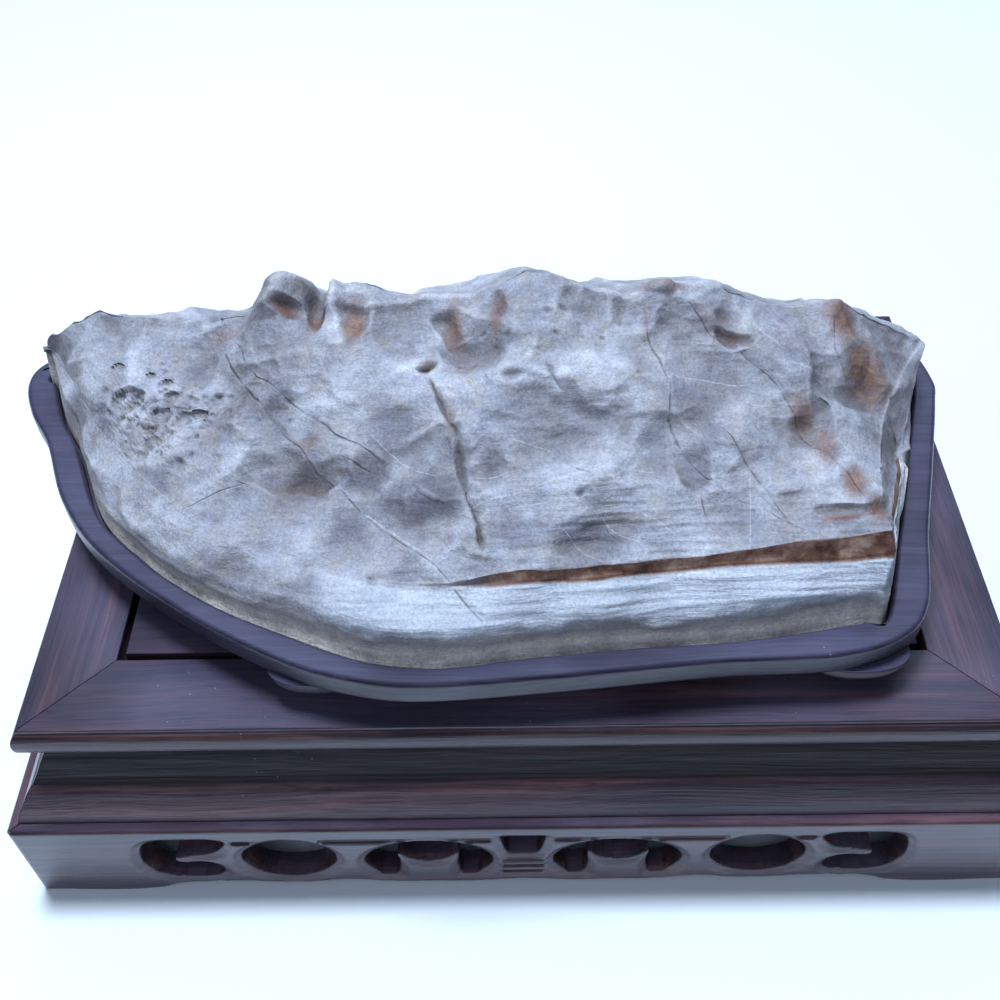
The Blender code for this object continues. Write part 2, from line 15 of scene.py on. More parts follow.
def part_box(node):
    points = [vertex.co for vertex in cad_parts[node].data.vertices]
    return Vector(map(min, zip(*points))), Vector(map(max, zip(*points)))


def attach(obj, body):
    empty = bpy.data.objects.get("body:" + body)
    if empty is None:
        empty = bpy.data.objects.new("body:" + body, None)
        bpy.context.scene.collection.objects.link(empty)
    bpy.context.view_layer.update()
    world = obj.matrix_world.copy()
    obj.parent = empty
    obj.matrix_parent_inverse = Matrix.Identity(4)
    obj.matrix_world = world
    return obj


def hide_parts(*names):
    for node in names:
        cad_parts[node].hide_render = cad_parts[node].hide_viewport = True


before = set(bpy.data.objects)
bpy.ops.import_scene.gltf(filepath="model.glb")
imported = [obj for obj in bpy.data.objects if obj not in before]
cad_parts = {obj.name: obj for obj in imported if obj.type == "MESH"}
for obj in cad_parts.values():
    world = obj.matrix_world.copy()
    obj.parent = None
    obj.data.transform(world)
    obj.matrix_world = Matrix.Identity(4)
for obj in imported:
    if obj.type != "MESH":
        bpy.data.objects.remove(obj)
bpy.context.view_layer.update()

# The stand, read from the frame, in millimetres
APRON_LOW, APRON_HIGH = [np.array(corner) * 1000 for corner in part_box("apron_front")]
BACK_HIGH = np.array(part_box("apron_back")[1]) * 1000
SEAT_HIGH = np.array(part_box("fitted_seat")[1]) * 1000
RAIL_LOW, RAIL_HIGH = [np.array(corner) * 1000 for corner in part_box("top_rail_front")]
# The open joint left at each mitre
MITRE_GAP = 0.22
STAND_LENGTH = APRON_HIGH[0] - APRON_LOW[0] + 2 * MITRE_GAP
STAND_DEPTH = BACK_HIGH[1] - APRON_LOW[1]
ORIGIN_X = -(APRON_HIGH[0] + APRON_LOW[0]) / 2
ORIGIN_Y = -APRON_LOW[1]
APRON_HEIGHT = APRON_HIGH[2]
APRON_THICK = APRON_HIGH[1] - APRON_LOW[1]
STAND_HEIGHT = RAIL_HIGH[2]
SLAB_UNDERSIDE = RAIL_LOW[2]
# The aprons' corner feet, the slab's inset from their face, and the parts of the rails and the waist
FOOT_LENGTH = 35.0
SLAB_INSET = 11.3
RAIL_WIDTH = 23.4
PANEL_THICK = 7.0
PANEL_GROOVE = 2.0
REBATE_WIDTH = 6.0
WAIST_BACK = 22.0
# The air left between touching pieces
GAP = 0.3
SIDES = ("front", "right", "back", "left")
# The rail's lip and the bead below it: height, middle and radii
LIP_HEIGHT = 1.3
BEAD_MIDDLE = (SLAB_INSET + 0.2, 69.0)
BEAD_RADII = (2.1, 4.3)
# The waist's hollow and the swell below it: height and inset
WAIST_TOP = SLAB_UNDERSIDE - GAP
WAIST_FOOT = APRON_HEIGHT + GAP
WAIST_HOLLOW = ((49.4, 9.4), (50.8, 10.2), (53.4, 11.5), (56.6, 13), (60, 14.8), (WAIST_TOP, 16.6))
WAIST_SWELL = ((WAIST_FOOT, 3.1), (40, 3.8), (42.5, 4.9), (45, 6.2), (47.2, 7.4), (48.9, 8.6))

# The scalloped lower edge of the aprons: distance from the board's middle, or from the end of the foot,
# and height
LONG_UNDER_EDGE = (
    (0, 3.8), (7, 3.3), (15, 2.6), (28, 2.7), (42, 3), (50, 4.3), (56, 4.5), (63, 3.4), (70.5, 3),
    (78, 3.4), (86, 4.3), (93, 4.3), (101, 3.7),
)
SHORT_UNDER_EDGE = ((0, 3), (14, 3), (22, 4.3), (30, 4.4), (38, 3.8), (48.5, 3.7))
FOOT_EDGE = ((0, 0), (3.5, 0.7), (7, 2.6), (10.5, 3.5))

# The outline of a scroll opening, and of the left half of the mound in an arch, from their middle
SCROLL = (
    (-13.5, 17), (-12, 26), (-8, 29.6), (0, 30.2), (9, 30), (13, 27.6), (9.5, 22.5), (2, 20.4),
    (-3.4, 18.2), (-2, 15.6), (5, 16), (9.4, 13), (9.8, 8.8), (6, 7.2), (-4, 7.2), (-11, 10.4),
)
MOUND = ((-15, 6.8), (-12.2, 6.5), (-9.7, 6.8), (-8.8, 13), (-9.3, 20.4), (-6.4, 17.6), (-3.4, 16), (0, 15.6))
# The carved grounds along the top of the openwork: start, end, lowest and highest height
LONG_GROUNDS = (
    (-88, -79, 28.2, 31.2), (-60.5, -8.8, 28.6, 31.4), (8.8, 60.5, 28.6, 31.4), (79, 88, 28.2, 31.2),
)
SHORT_GROUNDS = ((-33, -12, 28.6, 31.4), (12, 33, 28.6, 31.4))
# The aprons' carving: its depth, the size of the board's triangles, the length of each end that shrinks to
# the mitre, and the radii of the worn edges on the front, in the carving and behind
CARVED_DEPTH = 1.1
APRON_SPACING = 0.62
MITRE_RUN = 14.0
FRONT_ROUND = 1.3
CARVED_ROUND = 0.5
BEHIND_ROUND = 0.8

# The seat
SEAT_TOP = SEAT_HIGH[2]
SEAT_BAND = 9.3
SEAT_FLOOR = 87.5
SEAT_PLAY = 0.45
RIM_ROUND = 1.5
RIM_POINTS = 640
# The middles of the seat's feet, and half the length and depth of each
SEAT_FEET = ((-55.5, 26), (92, 28.5), (-106, 142), (100, 144))
SEAT_FOOT_SIZE = (14.0, 8.5)
SEAT_FOOT_TOP = 86.0
# How pale the sapwood streak in each of the seat's feet is
SEAT_SAP = (0.35, 1.0, 0.0, 0.2)
# The seat's outline seen from above, anticlockwise from its left end
SEAT_OUTLINE = (
    (-161, 133), (-156.5, 119), (-147.5, 104), (-137, 80), (-121, 59), (-93, 37), (-64, 20.5), (-44, 14),
    (-25, 12), (10, 14.5), (53, 18.5), (84, 20), (102, 25.5), (112, 37), (118.5, 63), (127, 92),
    (134, 117), (135.8, 128), (131.5, 144), (118, 153), (80, 157.5), (20, 158), (-50, 156), (-110, 153),
    (-142, 150), (-157, 143),
)

# Stretches of the stone's section, from the foot of its front over the ridge to the foot of its back, and
# the rows of the stone's grid along each
FRONT_WALL, LEDGE, STEP, FACE, BACK, BACK_WALL = range(6)
SECTION_ROWS = (10, 22, 14, 166, 30, 4)
STATIONS = 330
# How far each end cap swells, its power and its columns, and how the right one leans and is scooped
LEFT_CAP = (4.5, 2.5, 9)
RIGHT_CAP = (5.0, 7.0, 26)
RIGHT_LEAN = (0.75, 22.0)
RIGHT_SCOOP = 7.0
# Where along the stone's length that scoop starts
SCOOP_START = 0.82
# How far the step's wall is undercut, and how far the face and the back bow out: up, and back and up
UNDERCUT = 0.7
FACE_BOW = 2.5
BACK_BOW = (1.2, 1.5)

# The stone's foot, and its outline from above in front and behind, from left to right
STONE_BASE = SEAT_FLOOR + GAP
STONE_FRONT = (
    (-151.5, 133), (-145.5, 117), (-138, 104), (-126, 77), (-109, 58), (-88, 42), (-63, 29.5),
    (-40, 20.5), (-25, 18.5), (3, 21.4), (30, 24), (60, 26), (94.5, 31.6),
)
STONE_BACK = (
    (-148, 141), (-130, 144), (-95, 145), (-40, 148), (20, 150), (80, 149), (112, 146), (127.5, 139),
)
# The top of the front wall and of the back wall: place along, and height
FOOT_TOP = (
    (-151.5, 106), (-138, 104), (-121, 101), (-104, 98.5), (-80, 100), (-62, 101), (-40, 101.5),
    (-20, 103), (10, 103), (40, 101.5), (60, 102), (80, 103), (94, 103.5),
)
BACK_TOP = ((-148, 101), (-110, 106), (-50, 112), (10, 118), (70, 112), (127.5, 102))
# How far those two tops lean in over the foot
FRONT_LEAN = 3.0
BACK_WALL_LEAN = 1.5
# The ledge's back edge, and how high the step rises over it
LEDGE_BACK = (
    (-149, 132, 107.5), (-120, 88, 109), (-90, 58, 107), (-60, 44, 107), (-40, 37, 107.5),
    (-17, 33.5, 107.8), (10, 34.5, 108), (47, 37.5, 108.8), (97, 40, 109.8),
)
STEP_RISE = ((-60, 0.15), (-32, 0.3), (-22, 0.9), (-8, 3), (20, 3.6), (60, 4.2), (78, 6.6), (96, 7.2))
# The ridge, and knobs and notches in it alone: place along, half width and height
RIDGE = (
    (-144, 131, 115.5), (-140.5, 130.9, 120.2), (-134, 130, 123.6), (-120, 126, 126), (-106, 121, 128),
    (-88, 117.5, 131), (-79.5, 118, 135), (-72.5, 116.5, 145.5), (-65.5, 115, 149), (-57, 114.5, 146),
    (-41.5, 113.5, 146.5), (-33.5, 112, 143), (-21.7, 110, 142.5), (-12.8, 110, 144), (-3.9, 109, 151.5),
    (3.4, 108, 156), (8.5, 107.7, 155), (17, 107.5, 150.5), (29, 106.5, 145.5), (40.5, 108, 147),
    (57.5, 110.5, 145.5), (75.5, 108.5, 141), (90.5, 112, 138.5), (109, 116.5, 128.5),
    (125.5, 124, 112.5),
)
CREST = (
    (-77.5, 3.5, -2), (-68, 6.5, 1.2), (-56.4, 2.6, -5), (-52.4, 2.2, 2), (-27.5, 5, 0.8), (3, 6, -0.5),
    (20.5, 3, -1), (26, 3, 0.8), (38, 5.5, 1.6), (45.5, 2.5, -0.8), (60, 7, 0.7), (83, 5, -0.7),
    (-92, 4, 0.9), (-101, 4, -0.7), (-113, 5, 0.8), (-128, 5, 0.8),
)

# The stone's broad lumps and hollows: middle x and y, long and short radius, turn in degrees, depth. A
# negative depth is a lump.
HOLLOWS = (
    (-68.5, 110, 9, 7, 0, -2.4), (-52.5, 109.5, 4.2, 6, 0, -2.6), (-15, 68, 7, 6, 0, -1.6),
    (20, 82, 16, 9, 0, -1.8), (-46, 82, 13, 13, 0, -2), (-128, 112, 9, 13, 0, -1.5),
    (41, 109, 5, 3.5, 0, -1.8), (-74, 98, 9, 14, 35, 1.5), (8, 63, 17, 7, 5, 1.2),
    (-115, 97, 8, 4, 10, 2.2), (-97, 86, 14, 7, -15, 1.4), (83, 93, 12, 9, -30, 1.4),
    (-84, 66, 12, 7, 20, -1.2), (60, 72, 13, 8, -30, -1.2), (5, 106, 12, 6, 0, -1),
)
# Dips with a wall on their far side: the wall's middle x and y, the dip's half width, the wall's length,
# the length of the rise after it, the turn in degrees of the way down from straight towards the front
# (above 0 towards the right), and depth
DIPS = (
    (-33, 75, 9, 8, 14, 18, 2.6), (-42, 64.5, 8, 6, 7, 22, 2), (-25, 52.5, 16, 9, 9, -8, 3.6),
    (-62.5, 66.5, 15.5, 9, 2, -8, 3.2), (-117, 73.5, 17, 9, 9, -26, 5), (-125.5, 92, 11, 5, 8, -80, 1.6),
    (-8, 59, 5, 4, 6, 20, 1.4), (12, 73.5, 23, 9, 15, 2, 3.2), (47, 61, 5, 8, 6, 5, 2.4),
    (50, 79.5, 9, 8, 12, 38, 2.2), (96, 93, 12, 7, 7, 62, 3.4), (79, 75.5, 8, 5, 8, 50, 3.4),
    (87, 50.6, 7.5, 2.4, 2.6, 2, 2.2), (97, 53, 7, 3.4, 3, 40, 2.8), (21, 45.5, 15, 4, 6, 20, 1.6),
    (-1, 80.5, 3, 2, 3, 0, 1.1), (10, 82.5, 2.2, 2.4, 3.5, 5, 1.2), (-9, 91.5, 14, 4, 8, -20, 2.4),
    (-64.5, 107.2, 5.4, 2.2, 4, 0, 1.9), (-57.2, 112.5, 2.6, 5, 12, 4, 3.4),
    (-46, 108, 4.8, 5, 13, -8, 3.4), (-21, 105, 3.2, 3, 16, 26, 2.2), (-8, 104, 3.8, 3.4, 12, 28, 2.6),
    (-25.2, 90.6, 3, 1.6, 3.4, 20, 2.6), (56, 101, 8, 5, 8, 35, 1.8), (60.5, 97, 6, 2, 3.4, -6, 2),
    (-88, 113, 9, 4, 9, 25, 1.6), (-38, 37.6, 2.6, 1.2, 1.6, 0, 1.5), (-110, 60.5, 5, 3, 4, -30, 1.8),
    (16, 53.4, 1.8, 1.2, 2, 0, 1), (-75, 44, 16, 5, 9, -25, 1.3), (-134, 106, 8, 5, 7, -40, 1.8),
    (31, 92, 10, 6, 12, 12, 1.6), (72, 56, 10, 5, 8, 35, 1.2), (-6, 112, 12, 5, 9, 12, 1.6),
    (18, 104, 8, 6, 9, 25, 1.8),
)
# The larger pits: middle x and y, half width, half length and depth
PITS = (
    (-116, 99.4, 4.6, 2, 4.2), (-111, 97, 2.8, 2.4, 3), (-111.8, 93.5, 2.6, 2.2, 2.4),
    (-112.6, 90.2, 3.2, 2, 2.6), (-92.4, 86.6, 3.6, 2, 2.6), (-86.1, 91, 2.2, 2.2, 2.2),
    (-83.5, 84.5, 2.4, 1.8, 1.8), (-77.3, 79, 1.9, 1.5, 1.4), (-106.2, 83.7, 2.8, 1.8, 2.2),
    (-109.2, 80.6, 2.4, 1.6, 1.8), (-97.6, 87.2, 3.4, 2, 2.5), (-103.2, 98.5, 2.8, 1.6, 2),
    (-123.9, 98.6, 2, 1.4, 1.6), (-104.8, 90.6, 4.4, 2, 2.8), (-89.2, 83, 2.2, 1.6, 1.6),
    (-99.2, 83.5, 2.6, 1.6, 1.8), (-108.9, 102.3, 2.2, 1.5, 1.5), (-94.7, 80, 2.6, 1.4, 1.4),
    (-120, 107, 3.4, 2, 1.2), (-101.5, 93.5, 2.2, 1.6, 1.8), (-95, 91.5, 2.6, 1.4, 1.5),
    (-117.6, 93, 2.2, 1.8, 1.8), (-107, 87.2, 2.4, 1.5, 1.7), (-101, 79.5, 2, 1.4, 1.3),
)
# Patches of small pits: middle x and y, reach across and back, number of pits and their size
PIT_PATCHES = (
    (-102, 90, 22, 11, 90, 0.9), (-72, 82, 18, 12, 16, 0.7), (3, 94, 24, 8, 16, 0.8),
    (60, 90, 45, 18, 16, 0.7), (-104, 104, 16, 5, 14, 0.8),
)
# Crests with the lower side on the right: drop, length of the wall, length of the rise after it, the points
SCARPS = (
    (0.6, 3, 5, ((-86.4, 107.9), (-78.3, 91.9), (-68.5, 79.4), (-60.7, 72.4), (-50.3, 59.8))),
    (2.8, 8, 14, ((-85, 113), (-79, 102), (-69, 89), (-61, 84), (-50, 73), (-42, 69), (-32, 61.5))),
    (1.8, 7, 12, ((-58.6, 69.4), (-46.5, 57.4), (-30.1, 45.2), (-17.4, 33.5))),
    (3, 10, 14, ((45, 108), (58, 98), (66, 95), (75, 87), (81.8, 74), (90, 60), (97.1, 46.1))),
    (2, 7, 9, ((89, 112), (91, 104), (95.1, 92.5), (106, 89))),
    (1.5, 5, 8, ((-129, 99.5), (-118, 99.2), (-109, 98.2), (-98, 94.5), (-88, 93.6), (-80, 91))),
    (1.2, 6, 9, ((38, 104), (39, 92.2), (42, 80.4), (41, 72))),
    (1.2, 5, 8, ((82.7, 42.4), (70.4, 47.3), (55.1, 54.8), (44.1, 64.2))),
)
# Open cracks in the face: half width, and the points along each
CRACKS = (
    (0.55, (
        (-86.4, 107.9), (-78.3, 91.9), (-74.4, 85.9), (-68.5, 79.4), (-63.5, 74.5), (-60.7, 72.4),
        (-50.3, 59.8),
    )),
    (0.4, (
        (-83.5, 109), (-74.8, 92.4), (-68.7, 86.9), (-62.1, 82.2), (-50.9, 73.2), (-43.9, 70),
        (-36.7, 65.7),
    )),
    (0.5, ((-47.2, 67.2), (-43, 64.9), (-39.4, 63.3))),
    (0.45, (
        (-58.6, 69.4), (-46.5, 57.4), (-38.3, 50.7), (-25.3, 41.1), (-17.4, 33.5), (-11.4, 26.2),
        (-6.6, 20.4),
    )),
    (0.75, (
        (-24.4, 86.4), (-20.7, 78.4), (-17.6, 71.2), (-16.7, 63.4), (-13.9, 53.2), (-11.3, 47.2),
        (-9.8, 39.2),
    )),
    (0.55, ((35.5, 103), (36.5, 97), (38.1, 92.2), (42, 80.4), (41, 72), (44.1, 64.2))),
    (0.45, ((44.1, 64.2), (49.2, 59.6), (55.1, 54.8), (64.3, 51), (70.4, 47.3), (82.7, 42.4))),
    (0.35, ((54, 71), (58.3, 65.6), (63.6, 59.7), (68.2, 52.9), (73, 46.6))),
    (0.4, (
        (47, 105), (54.3, 97), (60.6, 94.6), (69.2, 86.7), (76.4, 77.9), (81.8, 68.7), (89.6, 61.3),
        (97.1, 46.1),
    )),
    (0.35, ((91.1, 107.5), (90.9, 98.8), (95.1, 91.5), (101, 89.5))),
    (0.5, ((74.2, 44), (74.6, 42.5), (76.3, 39.8))), (0.35, ((48.2, 55), (49.5, 50), (51.1, 46))),
    (0.35, ((-9.4, 88), (-8.6, 82), (-7, 78))), (0.3, ((11, 64), (17, 59), (21, 55.5))),
    (0.3, ((20, 50), (24, 46), (27.5, 42.5))), (0.3, ((-96, 62), (-84, 63.5), (-75, 64))),
)
# Pale calcite threads and scratches in the face: half width, and the points along each
THREADS = (
    (0.3, ((62.5, 63), (62, 52.4), (60.5, 40), (60.7, 30))), (0.3, ((62, 79.5), (72, 79.6), (76, 79))),
    (0.25, ((9, 56.3), (24.3, 59), (38, 59.8))),
    (0.35, ((-13.5, 50), (0.3, 53.5), (10.7, 57), (23, 60.3))), (0.25, ((9, 46.8), (22.6, 38))),
    (0.25, ((20.5, 49.4), (34.9, 39.3))), (0.25, ((30.5, 50), (45.7, 40.1))),
    (0.45, ((-46, 57), (-34.4, 49), (-24, 41))), (0.3, ((41, 84), (53.6, 86.6), (66, 85.4))),
    (0.25, ((-6.5, 66.2), (11.1, 65.4))), (0.25, ((-14, 57.5), (-2, 58), (8, 60.5))),
    (0.25, ((-2, 50), (10, 52), (22, 52.5))), (0.25, ((64, 104), (70, 98), (76, 93))),
    (0.25, ((72, 90), (82, 88.5), (90, 89.5))), (0.3, ((-79, 112), (-76, 108), (-73, 105.5))),
    (0.25, ((-41, 73), (-31, 66), (-22, 60))),
)
# How deep the open crack and the hair cracks go
OPEN_CRACK_DEPTH = 1.2
HAIR_CRACK_DEPTH = 0.12
# The ways in which the relief of the face and of the back lifts
RELIEF_LEAN = (0.0, -0.45, 0.89)
BACK_LEAN = (0.0, 0.8, 0.3)
# Long waves over the face: length across, length back, start and height
WAVES = ((57, 31, 0.4, 0.9), (-33, 41, 1.9, 0.6), (24, -26, 3.1, 0.4))
# The back's beds: height at the left end, height at the right end, and how far each stands out
BACK_BEDS = ((98, 103, 0.9), (107, 112, -1.3), (117, 121, 1.1), (131, 129, -0.9))
# The back's upright lumps: middle x, width, and how far each stands out
BACK_LUMPS = ((-98, 15, 2.2), (-62, 11, -2.4), (-24, 16, 2), (9, 10, -2.6), (46, 18, 2.4), (84, 12, -2.2))

# Painted shade laid on the stone's colour as dark patches in its hollows and steep facets: middle x and y,
# reach across and back, share
PAINTED_SHADE = (
    (-36, 73, 9, 7, 0.8), (-42, 63.5, 8, 4, 0.9), (-27, 56, 14, 6, 1.2), (-62.5, 66.5, 13, 4.5, 0.2),
    (-118, 69.5, 18, 9.5, 1.7), (-126, 92, 6, 12, 0.9), (12, 73, 24, 5, 0.6), (47, 60.5, 4, 7, 0.9),
    (51, 79, 7, 6, 0.5), (57, 101, 7, 5, 0.7), (78, 89, 11, 8, 0.8), (97, 93, 6, 10, 0.7),
    (81, 75, 5, 6, 0.8), (21, 45.5, 15, 3, 0.7), (-8, 92.5, 14, 2.5, 0.35), (-7, 60, 5, 3, 0.7),
    (-66, 90, 5, 9, 0.5), (-20, 66, 4, 12, 0.4), (16, 53, 1.8, 1.4, 0.9), (9.5, 81.5, 1.4, 3, 0.8),
    (-88, 47, 16, 4, 0.4), (-73, 106, 4, 8, 0.5), (90, 112, 12, 5, 0.4), (36, 72, 5, 5, 0.3),
    (-106, 92, 14, 6, 0.35), (60, 68, 10, 3, 0.3), (-2, 70, 12, 3, 0.4),
)
# Places made paler than the rest, in the same form
PALE = (
    (-70, 50, 20, 8, 1), (77, 57, 12, 9, 1.2), (86, 72, 9, 8, 0.7), (-72, 98, 6, 14, 0.6),
    (50, 38, 60, 4, 0.9), (0, 82, 18, 4, 0.6), (5, 108, 14, 6, 0.6),
)
# Rust on the stone's face, in the same form
RUST = (
    (-64.5, 105.5, 4.6, 2.2, 1), (-57, 105, 2.2, 5.5, 0.85), (-45.8, 103, 3.6, 8, 0.9),
    (-17.5, 101, 3, 8, 0.8), (-5.5, 98.5, 2.6, 7, 0.7), (-25, 90, 2.6, 2, 0.7), (-18.6, 74, 1.6, 8, 0.55),
    (60, 96.6, 4.6, 2, 0.6), (101, 97, 8, 10, 1), (94, 107, 6, 7, 1), (78.5, 78, 4, 4, 0.85),
    (84.5, 69, 4, 6.5, 0.85), (91, 59, 4.2, 5.5, 0.9), (87, 49.5, 7, 1.8, 1), (96, 51, 3.6, 6, 1),
    (57, 101, 6, 4, 0.35), (-108, 59.5, 3.2, 2.6, 0.7), (-37, 37.2, 2.2, 1.4, 0.9), (42, 109.5, 6, 3, 1),
    (36, 99, 1.8, 5, 0.4), (-12, 88.5, 10, 2.4, 0.35), (-58, 73, 3, 2, 0.6), (-86, 112, 5, 3, 0.5),
    (-62, 64, 9, 3, 0.3), (-105, 88, 9, 4, 0.25), (-136, 117, 3, 4, 0.35), (53, 104, 5, 3, 0.3),
)
# What the stone's colouring reads at each point
STONE_VALUES = (
    "rust", "wall", "painted_shade", "deep", "steep", "cavity", "ledge", "foot", "bedded", "pitted", "joint", "tone",
    "crack", "crack_share", "thread", "thread_share",
)

# The camera, measured from the stand in millimetres and degrees
LENS_PIXELS = 1174.086
CAMERA_PLACE = (-2.49, -157.78, 351.65)
CAMERA_DOWN = 47.68
CAMERA_YAW = -0.71
CAMERA_ROLL = -1.33
# The lights: name, place and size in metres, power, colour, and whether glossy surfaces mirror it
LIGHTS = (
    ("window", (-0.2, 0.25, 1.85), 0.45, 45.0, "e4efff", False),
    ("fill", (-0.3, -1.0, 1.0), 1.6, 7.0, "dfe9ff", False),
    ("ceiling", (0.0, 1.3, 1.9), 2.4, 13.5, "d4e4ff", True),
)
LIGHT_TARGET = (0.0, 0.0, 0.1)
# The floor's reach to the sides and back, and its front edge, in metres
FLOOR_REACH = 4.0
FLOOR_FRONT = -0.32


def read_curve(points, places):
    """A smooth curve through points, read at the given places along its first number.

    Between two points it is a cubic whose slopes at them are the width-weighted means of the runs beside.
    """
    points = np.array(points)
    x = points[:, 0]
    step = np.diff(x)[:, None]
    slopes = np.diff(points, axis=0) / step
    inner = (slopes[1:] * step[:-1] + slopes[:-1] * step[1:]) / (step[1:] + step[:-1])
    tangents = np.vstack((slopes[:1], inner, slopes[-1:]))
    spot = np.clip(np.searchsorted(x, places) - 1, 0, len(x) - 2)
    width = step[spot]
    t = (np.clip(places, x[0], x[-1])[:, None] - x[spot][:, None]) / width
    low, high = points[spot], points[spot + 1]
    return (
        (2 * t**3 - 3 * t**2 + 1) * low + (t**3 - 2 * t**2 + t) * width * tangents[spot]
        + (3 * t**2 - 2 * t**3) * high + (t**3 - t**2) * width * tangents[spot + 1]
    )


def closed_curve(points, count):
    """A closed Catmull-Rom curve through points, as count points at even spacing."""
    points = np.array(points)
    fine = np.linspace(0, 1, 24, endpoint=False)[:, None]
    before, after = np.roll(points, 1, axis=0), np.roll(points, -1, axis=0)
    later = np.roll(points, -2, axis=0)
    parts = []
    for a, b, c, d in zip(before, points, after, later):
        bent = (2 * a - 5 * b + 4 * c - d) * fine**2 + (3 * b - a - 3 * c + d) * fine**3
        parts.append(0.5 * (2 * b + (c - a) * fine + bent))
    return even_points(np.vstack(parts), count)


def even_points(loop, count):
    """The same closed loop as count points at even spacing."""
    ring = np.vstack((loop, loop[:1]))
    along = np.concatenate(([0.0], np.cumsum(np.linalg.norm(np.diff(ring, axis=0), axis=1))))
    places = np.linspace(0, along[-1], count, endpoint=False)
    return np.column_stack([np.interp(places, along, ring[:, axis]) for axis in range(ring.shape[1])])


def grow_loop(loop, distance):
    """The loop, anticlockwise from above, moved outwards by distance."""
    run = np.roll(loop, -1, axis=0) - np.roll(loop, 1, axis=0)
    outward = np.column_stack((run[:, 1], -run[:, 0])) / np.linalg.norm(run, axis=1)[:, None]
    return loop + outward * distance


def arc(middle, radii, start, end, count):
    """Points of an elliptic arc, in degrees."""
    turn = np.radians(np.linspace(start, end, count))
    return [(middle[0] + radii[0] * math.cos(a), middle[1] + radii[1] * math.sin(a)) for a in turn]


def ease_corners(loop, radius, steps=4):
    """The closed loop with each corner worn round: a short curve bent towards the corner takes its place."""
    loop = np.array(loop, dtype=float)
    eased = []
    for before, corner, after in zip(np.roll(loop, 1, axis=0), loop, np.roll(loop, -1, axis=0)):
        back, ahead = before - corner, after - corner
        lengths = [np.linalg.norm(run) for run in (back, ahead)]
        reach = [min(radius, 0.45 * length) / max(length, 1e-6) for length in lengths]
        start, end = corner + back * reach[0], corner + ahead * reach[1]
        for t in np.linspace(0, 1, steps):
            eased.append(start * (1 - t) ** 2 + corner * 2 * t * (1 - t) + end * t**2)
    return np.array(eased)


def place(points):
    """Millimetres measured from the stand, as metres in the frame."""
    return (np.asarray(points, dtype=float) - (ORIGIN_X, ORIGIN_Y, 0.0)) / 1000.0


def smooth(value, low, high):
    """0 below low, 1 above high, and an even S between them."""
    t = np.clip((value - low) / (high - low), 0, 1)
    return t * t * (3 - 2 * t)


def noise(x, y, seed):
    """Even noise from -1 to 1 with lumps one unit wide: random values blended between the corners of a grid.

    The seed only picks the pattern, and each use has its own.
    """
    table = np.random.default_rng(seed).uniform(-1, 1, (128, 128))
    column, row = np.floor(x).astype(int), np.floor(y).astype(int)
    s, t = x - column, y - row
    s, t = s * s * (3 - 2 * s), t * t * (3 - 2 * t)
    corner = [table[(row + j) % 128, (column + i) % 128] for j in (0, 1) for i in (0, 1)]
    return (corner[0] * (1 - s) + corner[1] * s) * (1 - t) + (corner[2] * (1 - s) + corner[3] * s) * t


def rough(x, y, size, seed, octaves=4):
    """Noise whose largest lumps are size wide, with smaller lumps of half the height laid on."""
    return sum(noise(x / size * 2**k, y / size * 2**k, seed + k) / 2**k for k in range(octaves))


def oval_distance(x, y, middle_x, middle_y, reach_x, reach_y):
    """The squared distance from a middle, 1 on the oval with these reaches."""
    return ((x - middle_x) / reach_x) ** 2 + ((y - middle_y) / reach_y) ** 2


def turned(x, y, middle_x, middle_y, degrees):
    """Places from a middle, along two axes turned anticlockwise by degrees."""
    c, s = math.cos(math.radians(degrees)), math.sin(math.radians(degrees))
    return (x - middle_x) * c + (y - middle_y) * s, (y - middle_y) * c - (x - middle_x) * s


def run_distance(x, y, start, end):
    """Distance from each place to a straight run, and the share of the run, 0 to 1, where it is nearest."""
    run = end - start
    t = np.clip(((x - start[0]) * run[0] + (y - start[1]) * run[1]) / max(run @ run, 1e-12), 0, 1)
    return np.hypot(x - start[0] - t * run[0], y - start[1] - t * run[1]), t


def path_distance(x, y, path):
    """Distance from each place to a path of straight runs, the side it lies on, and how far in from its ends.

    The side is above 0 on the path's right.
    """
    nearest = np.full_like(x, 1e6)
    side = np.zeros_like(x)
    along = np.zeros_like(x)
    length = 0.0
    for start, end in zip(np.array(path), np.array(path)[1:]):
        run = end - start
        gone, t = run_distance(x, y, start, end)
        turn = (x - start[0]) * run[1] - (y - start[1]) * run[0]
        closer = gone < nearest
        side = np.where(closer, np.sign(turn), side)
        along = np.where(closer, length + t * math.hypot(*run), along)
        nearest = np.minimum(gone, nearest)
        length += math.hypot(*run)
    return nearest, side, np.minimum(along, length - along)


def line_field(x, y, lines):
    """The nearest line's signed distance in its own half widths, and its share, which fades at its ends."""
    distance = np.full_like(x, 1e3)
    share = np.zeros_like(x)
    for half_width, path in lines:
        gone, side, inside = path_distance(x, y, path)
        near = gone / half_width < np.abs(distance)
        distance = np.where(near, side * gone / half_width, distance)
        share = np.where(near, smooth(inside, 0.0, 4.0), share)
    return distance, share


def ring_faces(rings, around):
    """Quads between closed rings of the same number of points."""
    i, j = np.meshgrid(np.arange(rings - 1), np.arange(around), indexing="ij")
    k = (j + 1) % around
    corners = (i * around + j, i * around + k, (i + 1) * around + k, (i + 1) * around + j)
    return np.stack(corners, axis=-1).reshape(-1, 4).tolist()


def stack_loops(loops, heights):
    """Rings from flat loops, each at its own height."""
    return np.array([np.column_stack((loop, np.full(len(loop), z))) for loop, z in zip(loops, heights)])


def tube_faces(rings, around):
    """Quads between closed rings, and a face over each end."""
    last = (rings - 1) * around
    return ring_faces(rings, around) + [list(range(around))[::-1], [last + i for i in range(around)]]


